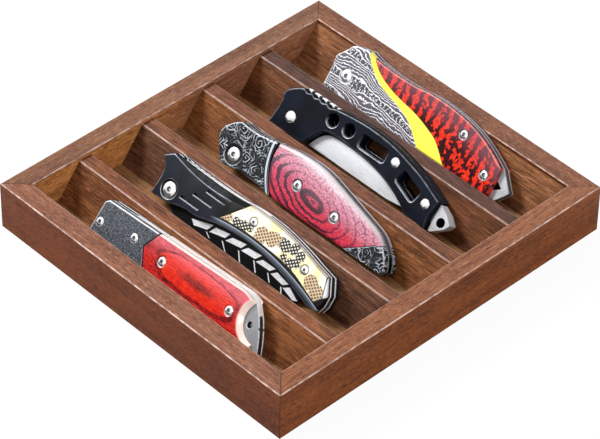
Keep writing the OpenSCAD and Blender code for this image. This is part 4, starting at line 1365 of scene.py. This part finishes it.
def recessed(piece: Piece, seat: Seat, places: tuple[Pair, ...], radius: float, depth: float) -> None:
    """Sinks a six-sided recess into each screw's two heads.

    Args:
        piece: The screws.
        seat: The knife that they are on.
        places: Where they are, along and across the handle.
        radius: The recess's radius, in millimetres.
        depth: Its depth, in millimetres.
    """
    cutters = []
    for l, s in places:
        for n in (0.0, KNIFE_T + HEAD_RISE):
            bpy.ops.mesh.primitive_cylinder_add(
                vertices=6, radius=radius * MM, depth=2 * depth * MM, location=seat.world(l, s, n),
                rotation=seat.matrix.to_euler())
            cutters.append(bpy.context.object)
    bpy.ops.object.select_all(action="DESELECT")
    for cutter in cutters:
        cutter.select_set(True)
    bpy.context.view_layer.objects.active = cutters[0]
    bpy.ops.object.join()
    apply_modifier(piece, "BOOLEAN", operation="DIFFERENCE", object=cutters[0], solver="EXACT")
    bpy.data.objects.remove(cutters[0], do_unlink=True)


def dress(piece: Piece, material: bpy.types.Material) -> Piece:
    """Gives a piece its one material.

    Args:
        piece: The piece.
        material: The material.

    Returns:
        The same piece.
    """
    piece.data.materials.clear()
    piece.data.materials.append(material)
    LOG.info("%s: %s", piece.name, material.name)
    return piece


@dataclass
class Tray:
    """The wooden tray: four rails, a bottom panel, four dividers and the rear ramp."""

    edge: float = 0.15
    rail_seed: float = 31.0
    panel_seed: float = 7.0
    ramp_seed: float = 50.0
    ramp_seed_step: float = 17.0
    panel_top_tint: Triple = (0.5, 0.42, 0.36)
    # Painted warm light on the back rail's inner face, at its two ends.
    back_inner_light: tuple[Triple, Triple] = ((2.3, 2.6, 1.7), (1.4, 1.6, 1.75))
    # Each rail's tints for its top and its other faces: painted light and shade.
    rails: tuple[tuple[Triple, ...], ...] = (
        ((1.0, 1.0, 0.9), (0.95, 0.73, 0.37)), ((0.82, 0.98, 1.08), (0.85, 0.63, 0.38)),
        ((0.95, 1.05, 1.25), (0.74, 0.46, 0.14)), ((0.88, 0.92, 0.92), (0.85, 0.63, 0.38)))
    # Each divider's and the ramp's tints for its top and its other faces: painted light and shade.
    divider_light_tints: tuple[tuple[Triple, ...], ...] = (
        ((0.87, 0.69, 0.67), (0.95, 0.81, 0.74)), ((0.68, 0.55, 0.63), (0.56, 0.54, 0.7)),
        ((0.62, 0.47, 0.47), (0.98, 0.84, 0.7)), ((0.36, 0.3, 0.43), (0.63, 0.51, 0.46)),
        ((0.9, 0.85, 0.9), (1.15, 1.1, 1.15)))
    ramp_normal: Triple = field(init=False)

    def __post_init__(self) -> None:
        """Works out which way the ramps face."""
        lift = next(j for j in frame["joints"] if j["name"] == "knife1_lift")["axis"]
        self.ramp_normal = (-lift[2], 0.0, lift[0])

    def build(self) -> None:
        """Rounds and dresses every piece of wood."""
        high = CAD_BOX[1]
        seam = (high.x - high.y) / MM
        for number, name in enumerate(("rail_front", "rail_back", "rail_left", "rail_right")):
            grain = Grain.ALONG_X if number < 2 else Grain.ALONG_Y
            lines = 0.6 if name == "rail_front" else 0.3
            inside = self.back_inner_light if name == "rail_back" else ()
            tops, sides = self.rails[number]
            wood = Walnut(
                grain, seed=self.rail_seed * number, lines=lines, seam=seam, tops=tops, sides=sides,
                inside=inside)
            dress(rounded(copied(name), self.edge, joins=True), wood.paint(name + "_walnut"))
        panel = Walnut(
            Grain.ALONG_Y, "#8a5c36", "#b98a5c", "#cfa57a", seed=self.panel_seed, tops=self.panel_top_tint)
        dress(frame["nodes"]["bottom_panel"], panel.paint("panel_walnut"))
        for number in range(1, 6):
            name = "rear_ramp" if number == 5 else f"divider_{number}"
            top, side = self.divider_light_tints[number - 1]
            wood = Walnut(
                Grain.ALONG_Y, "#3f210e", "#69401f", "#8f5f35", rough=0.4, pore=0.1, hair=0.6, arris_wear_and_glint=0.46,
                seed=self.ramp_seed + self.ramp_seed_step * number, slope=self.ramp_normal, tops=top,
                sides=side)
            dress(rounded(copied(name), self.edge), wood.paint(name + "_walnut"))


@dataclass(frozen=True)
class Fastener:
    """Some of a knife's round heads: their places, their recess and the ring that each sits in."""

    part: str
    places: tuple[Pair, ...]
    radius: float
    recess: float = 0.0
    collar: float = 0.0


@dataclass
class Knife:
    """One folding knife: what all five share."""

    number: int
    pivot: Pair
    edge: float = 0.2
    head_edge: float = 0.6
    recess_depth: float = 0.9
    collar_half: float = 0.2
    collar_drop: float = 0.3
    collar_height: float = 0.4
    collar_edge: float = 0.15

    def __post_init__(self) -> None:
        """Finds the knife's place."""
        self.seat = Seat.of(self.number, self.pivot)

    def name(self, part: str) -> str:
        """Gives the CAD node's name for one of the knife's parts."""
        return f"knife{self.number}_{part}"

    def finish_parts(
            self, parts: dict[str, tuple[Look, str]], crown: Crown | Fold | None = None,
            edge: float = 0.0) -> None:
        """Rounds and dresses parts.

        Args:
            parts: Each part's name, with its look and the record's slot. A name that ends in an underscore
                stands for two parts, the front one and the back one.
            crown: The fall or fold of the parts' faces, where they have one.
            edge: The rounding's width, or 0 for the knife's own.
        """
        for part, (look, slot) in parts.items():
            for side in ("front", "back") if part.endswith("_") else ("",):
                name = self.name(part + side)
                piece = copied(name)
                if crown:
                    crown.shape(piece, self.seat)
                dress(rounded(piece, edge or self.edge), look.paint(name + "_finish"))

    def finish_heads(self, fasteners: list[Fastener]) -> None:
        """Rounds the screws' heads, sinks their recesses and lays the rings round them.

        Args:
            fasteners: The knife's round heads.
        """
        for group in fasteners:
            name = self.name(group.part)
            piece = rounded(copied(name), self.head_edge, 4)
            if group.recess:
                recessed(piece, self.seat, group.places, group.recess, self.recess_depth)
            look = BrightScrew(self.seat, group.places, group.recess, group.radius)
            dress(piece, look.paint(name + "_finish"))
            if group.collar:
                self.collars(name, group)

    def collars(self, name: str, group: Fastener) -> None:
        """Lays a thin steel ring round each of some screws, with painted light on it.

        Args:
            name: The screws' node.
            group: The screws.
        """
        lip = RecessLip(self.seat, group.places).paint(name + "_collar_finish")
        for count, (l, s) in enumerate(group.places, 1):
            ring = self.collar(group.collar, self.seat.world(l, s, KNIFE_T - self.collar_drop))
            ring.name = ring.data.name = f"{name}_collar_{count}"
            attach(ring, f"knife{self.number}")
            dress(rounded(ring, self.collar_edge, 3), lip)

    def collar(self, radius: float, place: Vector) -> Piece:
        """Models one ring: an outline is widened inwards to a flat band, which is then raised.

        Args:
            radius: The radius of the ring's middle, in millimetres.
            place: The middle of its underside.

        Returns:
            The new piece.
        """
        outer, inner = radius + self.collar_half, radius - self.collar_half
        bpy.ops.object.select_all(action="DESELECT")
        bpy.ops.mesh.primitive_circle_add(
            vertices=48, radius=outer * MM, location=place, rotation=self.seat.matrix.to_euler())
        ring = bpy.context.object
        bpy.ops.object.transform_apply(location=True, rotation=True, scale=True)
        bpy.ops.object.mode_set(mode="EDIT")
        bpy.ops.mesh.select_all(action="SELECT")
        bpy.ops.mesh.extrude_edges_move()
        bpy.ops.transform.resize(value=(inner / outer,) * 3, center_override=place)
        self.raise_faces(self.collar_height)
        return ring

    def raise_faces(self, height: float) -> None:
        """Raises the flat piece that is being edited out of the handle's front, and leaves edit mode.

        Args:
            height: The piece's height, in millimetres.
        """
        bpy.ops.mesh.select_all(action="SELECT")
        rise = self.seat.direction(0, 0, height * MM)
        bpy.ops.mesh.extrude_region_move(TRANSFORM_OT_translate={"value": rise})
        bpy.ops.mesh.select_all(action="SELECT")
        bpy.ops.mesh.normals_make_consistent(inside=False)
        bpy.ops.object.mode_set(mode="OBJECT")

    def build(self) -> None:
        """Dresses the knife."""
        raise NotImplementedError


@dataclass
class ChevronKnife(Knife):
    """Knife 1: stonewashed bolsters with a chevron joint, and red laminate scales."""

    crown: Crown = Crown((63.0, 9.0), (80.0, 14.0), 0.5)
    scale_edge: float = 0.35
    hole: Triple = (103.4, 9.3, 1.6)
    screws: tuple[Pair, ...] = ((3.7, 7.0), (24.8, 10.4), (44.2, 9.3), (88.1, 9.8))

    def build(self) -> None:
        """Dresses the knife."""
        s = self.seat
        liner = Steel(s, "#9c9ea2", shaded_to=91.0, hole=self.hole)
        self.finish_parts({
            "bolster_": (Stonewash(s), "stonewashed_steel"),
            "liner_": (liner, "satin_steel"),
            "spine_bar": (Steel(s, "#f0f0f2"), "satin_steel"),
            "blade": (Steel(s, BLADE_STEEL, 0.36, 0.6), "satin_steel"),
            "pivot_pin": (BrightScrew(s), "bright_steel"),
        })
        self.finish_parts({"scale_": (RedLaminate(s), "red_laminate")}, self.crown, self.scale_edge)
        self.finish_heads([Fastener("screws", self.screws, radius=2.1, recess=0.95)])


@dataclass
class ForkedKnife(Knife):
    """Knife 2: a black frame with a forked head and a cream inlay."""

    facets: tuple[tuple[Pair, ...], ...] = (
        ((27.8, 0.5), (40.3, 4.0), (38.3, 0.5), (30.5, -1.5)),
        ((42.0, 3.8), (50.7, 5.3), (49.0, 2.3), (39.8, 0.3)),
        ((52.7, 4.5), (61.2, 5.9), (59.3, 2.9), (49.9, 1.5)),
        ((62.7, 5.0), (71.3, 5.8), (68.8, 2.7), (59.9, 2.0)),
        ((72.8, 4.5), (81.2, 4.6), (78.8, 2.2), (69.7, 1.9)),
        ((82.8, 3.8), (91.0, 2.3), (88.3, 0.4), (79.9, 1.4)),
        ((92.4, 1.5), (99.4, -1.6), (96.9, -2.6), (89.0, -0.6)))
    ring: float = 4.9
    inlay_edge: float = 0.45
    screws: tuple[Pair, ...] = ((61.3, 17.1), (97.2, 13.0))
    facet_level: float = 6.1
    facet_height: float = 0.07
    facet_edge: float = 0.03
    line_width: float = 0.8
    vent_start: Pair = (18.9, 7.0)
    vent_step: Pair = (5.9, 4.65)
    vent_count: int = 3
    fold: Triple = (32.2, 127.9, 109.8)
    arm: Triple = (64.0, 10.05, 0.0036)
    lines: tuple[tuple[Pair, ...], ...] = (
        ((37.9, -0.4), (41.0, -2.2)), ((48.0, 0.5), (52.1, -2.9)), ((58.4, 1.3), (61.8, -2.8)),
        ((68.2, 1.8), (71.9, -2.4)), ((77.9, 1.0), (81.0, -2.3)), ((87.6, -0.6), (89.3, -3.1)))

    def build(self) -> None:
        """Dresses the knife."""
        s = self.seat
        start, step = self.vent_start, self.vent_step
        vents = tuple((start[0] + step[0] * i, start[1] + step[1] * i) for i in range(self.vent_count))
        black = Coating(
            s, "#090d17", "#1b212f", glint=0.9, well=(*self.pivot, self.ring), fold=self.fold, vents=vents,
            arm=self.arm)
        liner = Steel(s, "#c8cacd", shaded_to=111.0)
        self.finish_parts({"frame_front": (black, "black_coating")}, Fold(self.fold[:2], self.fold[2]))
        self.finish_parts({
            "frame_back": (black, "black_coating"),
            "liner_": (liner, "satin_steel"),
            # Painted shadow on the spine bar towards the tail.
            "spine_bar": (Steel(s, "#f4f4f6", bands=(20.0, 400.0, 45.0)), "satin_steel"),
            "blade": (Coating(s, "#060709", "#101216", 0.3, 0.2), "black_coating"),
        })
        self.finish_parts({"inlay": (Snakeskin(s), "snakeskin_inlay")}, edge=self.inlay_edge)
        self.finish_heads([
            Fastener("pivot_screw", (self.pivot,), radius=3.6, recess=1.3, collar=self.ring),
            Fastener("screws", self.screws, radius=2.0, recess=0.7)])
        polished = Steel(s, "#eceef2", 0.3, 0.6, 0.2).paint("knife2_facet_finish")
        for count, corners in enumerate(self.facets, 1):
            dress(self.facet(f"knife2_facet_{count}", corners), polished)
        for count, ((l, a), (m, b)) in enumerate(self.lines, 1):
            corners = ((l, a), (l + self.line_width, a), (m + self.line_width, b), (m, b))
            dress(self.facet(f"knife2_facet_line_{count}", corners), polished)

    def facet(self, name: str, corners: tuple[Pair, ...]) -> Piece:
        """Models one polished facet on the folded blade's side.

        Args:
            name: The piece's name.
            corners: Its four corners, along and across the handle.

        Returns:
            The new piece, which rides on the blade.
        """
        middle = [sum(values) / len(corners) for values in zip(*corners)]
        bpy.ops.mesh.primitive_plane_add(
            size=MM, location=self.seat.world(*middle, self.facet_level),
            rotation=self.seat.matrix.to_euler())
        piece = bpy.context.object
        bpy.ops.object.transform_apply(location=True, rotation=True, scale=True)
        piece.name = piece.data.name = name
        turned = sorted(corners, key=lambda c: math.atan2(c[1] - middle[1], c[0] - middle[0]))
        places = [self.seat.local(vertex.co) for vertex in piece.data.vertices]
        order = sorted(range(4), key=lambda i: math.atan2(places[i].y - middle[1], places[i].x - middle[0]))
        for index, corner in zip(order, turned):
            piece.data.vertices[index].co = self.seat.world(*corner, self.facet_level)
        bpy.ops.object.mode_set(mode="EDIT")
        self.raise_faces(self.facet_height)
        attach(piece, "blade2")
        return rounded(piece, self.facet_edge, 1)


@dataclass
class EngravedKnife(Knife):
    """Knife 3: engraved bolsters and tail caps, with ringed scales between them."""

    crown: Crown = Crown((66.0, 9.0), (60.0, 16.0), 1.0)
    scale_edge: float = 0.4
    ring: float = 5.3
    screws: tuple[Pair, ...] = ((52.2, 12.2), (78.0, 9.9))

    def build(self) -> None:
        """Dresses the knife."""
        s = self.seat
        engraved = ScrollEngraving(s, well=(*self.pivot, self.ring))
        liner = Steel(s, "#b4b6ba", shaded_to=200.0, edge="#808286")
        self.finish_parts({
            "bolster_": (engraved, "engraved_steel"),
            "tail_cap_": (engraved, "engraved_steel"),
            "liner_": (liner, "satin_steel"),
            "spine_bar": (Steel(s, "#505257"), "satin_steel"),
            "blade": (Steel(s, BLADE_STEEL, 0.36, 0.6), "satin_steel"),
        })
        self.finish_parts({"scale_": (RingedLaminate(s), "ringed_laminate")}, self.crown, self.scale_edge)
        self.finish_heads([
            Fastener("pivot_screw", (self.pivot,), radius=3.4, recess=1.2, collar=self.ring),
            Fastener("screws", self.screws, radius=2.3, recess=1.05, collar=2.8)])


@dataclass
class SkeletonKnife(Knife):
    """Knife 4: a blue-black frame with holes and windows, and a bright blade."""

    openings: tuple[Pair, ...] = (
        (32.3, 17.6), (42.8, 18.0), (54.5, 17.4), (60.0, 17.4), (65.0, 17.4), (81.5, 13.2), (87.0, 11.4))
    hole: Triple = (108.9, 6.2, 2.3)
    rivets: tuple[Pair, ...] = ((73.7, 17.9), (98.3, 9.9))

    def build(self) -> None:
        """Dresses the knife."""
        s = self.seat
        frame_look = Coating(s, "#070a12", "#141b2b", 0.32, 0.85, gloss=0.17, openings=self.openings)
        self.finish_parts({
            "frame_": (frame_look, "blue_black_frame"),
            "thumb_rest": (Steel(s, "#f4f5f6", bands=(10.6, 5.0, 1.5)), "satin_steel"),
            "back_spacer": (Coating(s, "#060709", "#0e1014", gloss=0.08), "black_coating"),
            "tail_plate": (Steel(s, "#c6c8cc", 0.3, 0.2, hole=self.hole), "satin_steel"),
            "blade": (BlastedBlade(s), "white_blade_steel"),
        })
        self.finish_heads([
            Fastener("pivot_rivet", (self.pivot,), radius=3.2), Fastener("rivets", self.rivets, radius=2.7)])


@dataclass
class StripedKnife(Knife):
    """Knife 5: folded steel bolsters, a yellow stripe and mottled scales."""

    scale_edge: float = 0.35
    hole: Triple = (111.1, 6.2, 3.2)
    screws: tuple[Pair, ...] = ((83.9, 18.4), (103.6, 7.8))

    def build(self) -> None:
        """Dresses the knife."""
        s = self.seat
        liner = Steel(s, "#c4c6ca", shaded_to=106.0, edge="#b0b2b7", hole=self.hole)
        self.finish_parts({
            "bolster_": (FoldedSteel(s), "patterned_steel"),
            "stripe": (YellowResin(s), "yellow_stripe"),
            "liner_": (liner, "satin_steel"),
            "spine_bar": (Steel(s, "#505156", hole=self.hole), "satin_steel"),
            "blade": (Steel(s, BLADE_STEEL, 0.36, 0.6), "satin_steel"),
        })
        self.finish_parts({"scale_": (MottledResin(s), "mottled_resin")}, edge=self.scale_edge)
        self.finish_heads([
            Fastener("pivot_screw", (self.pivot,), radius=3.1, recess=1.1),
            Fastener("screws", self.screws, radius=2.1, recess=1.0, collar=2.5)])


@dataclass
class Studio:
    """The camera, the white floor and the soft lamps."""

    azimuth: float = 43.9643
    elevation: float = 41.78
    roll: float = 0.9567
    distance: float = 1.589
    target: Triple = (0.0042, 0.0044, 0.0)
    focal_pixels: float = 3443.6
    sky_heights: Pair = (-0.1, 0.9)
    sky_levels: Pair = (0.3, 0.7)
    floor_radius: float = 6.0
    lamps: tuple[tuple[str, Triple, float, float], ...] = (
        ("key_lamp", (-0.48, 1.16, 1.12), 0.5, 36.0), ("fill_lamp", (-0.4, -1.5, 0.75), 0.9, 17.0),
        ("back_lamp", (1.2, 0.9, 1.0), 1.0, 10.0))

    def build(self) -> None:
        """Makes everything that isn't the object."""
        self.camera()
        self.world()
        self.floor()
        for name, place, size, power in self.lamps:
            self.lamp(name, place, size, power)

    def camera(self) -> None:
        """Places the camera at the photograph's angle."""
        az, el, roll = (math.radians(v) for v in (self.azimuth, self.elevation, self.roll))
        back = Vector((-math.sin(az) * math.cos(el), -math.cos(az) * math.cos(el), math.sin(el)))
        right = Vector((0, 0, 1)).cross(back).normalized()
        up = back.cross(right)
        turned_right = math.cos(roll) * right + math.sin(roll) * up
        turned_up = math.cos(roll) * up - math.sin(roll) * right
        data = bpy.data.cameras.new("photo_camera")
        data.sensor_width = SENSOR_WIDTH
        data.lens = self.focal_pixels * SENSOR_WIDTH / IMAGE_WIDTH
        data.clip_start, data.clip_end = CLIP_RANGE
        camera = bpy.data.objects.new("photo_camera", data)
        turn = Matrix((turned_right, turned_up, back)).transposed()
        camera.matrix_world = Matrix.Translation(Vector(self.target) + self.distance * back) @ turn.to_4x4()
        bpy.context.scene.collection.objects.link(camera)
        bpy.context.scene.camera = camera

    def world(self) -> None:
        """Lights everything softly from all round, brighter from above."""
        world = bpy.data.worlds.new("studio_world")
        bpy.context.scene.world = world
        g = Graph(world)
        height = g.split(g.out("TexCoord", output="Generated"))[2]
        low, high = self.sky_heights
        dim, bright = self.sky_levels
        level = g.out("MapRange", {"Value": height, 1: low, 2: high, 3: dim, 4: bright})
        soft = g.out("Background", {"Color": WHITE, "Strength": level})
        white = g.out("Background", {"Color": WHITE})
        g.show(g.out("MixShader", {0: g.out("LightPath", output="Is Camera Ray"), 1: soft, 2: white}))

    def floor(self) -> None:
        """Lays a white floor that keeps a faint shadow."""
        bpy.ops.mesh.primitive_circle_add(
            vertices=64, radius=self.floor_radius, fill_type="NGON", location=(0, 0, 0))
        floor = bpy.context.object
        floor.name = "floor"
        g = Graph(bpy.data.materials.new("white_floor"))
        g.body = (0.5, 0.5, 0.5, 1.0)
        g.finish(0.9, Specular_IOR_Level=0.1)
        plain = Flow(g, g.tree.nodes["Principled BSDF"].outputs[0])
        glow = g.out("Emission", {"Color": WHITE, "Strength": 1.04})
        share = g.out("LightPath", output="Is Camera Ray") * 0.9
        g.show(g.out("MixShader", {0: share, 1: plain, 2: glow}))
        floor.data.materials.append(g.owner)

    def lamp(self, name: str, place: Triple, size: float, power: float) -> None:
        """Adds one square soft lamp that faces the tray.

        Args:
            name: The lamp's name.
            place: Where it hangs, in metres.
            size: Its side, in metres.
            power: Its power, in watts.
        """
        data = bpy.data.lights.new(name, "AREA")
        data.shape, data.size, data.energy = "SQUARE", size, power
        lamp = bpy.data.objects.new(name, data)
        away = Vector(place)
        lamp.matrix_world = Matrix.Translation(away) @ away.to_track_quat("Z", "Y").to_matrix().to_4x4()
        bpy.context.scene.collection.objects.link(lamp)


def main() -> None:
    """Builds the studio, the tray and the five knives."""
    bpy.context.scene.view_settings.view_transform = "Standard"
    Studio().build()
    Tray().build()
    knives = [
        ChevronKnife(1, (11.5, 9.0)),
        ForkedKnife(2, (11.7, 6.4)),
        EngravedKnife(3, (12.8, 6.8)),
        SkeletonKnife(4, (10.7, 7.6)),
        StripedKnife(5, (10.8, 10.2)),
    ]
    for knife in knives:
        knife.build()


if __name__ == "__main__":
    main()
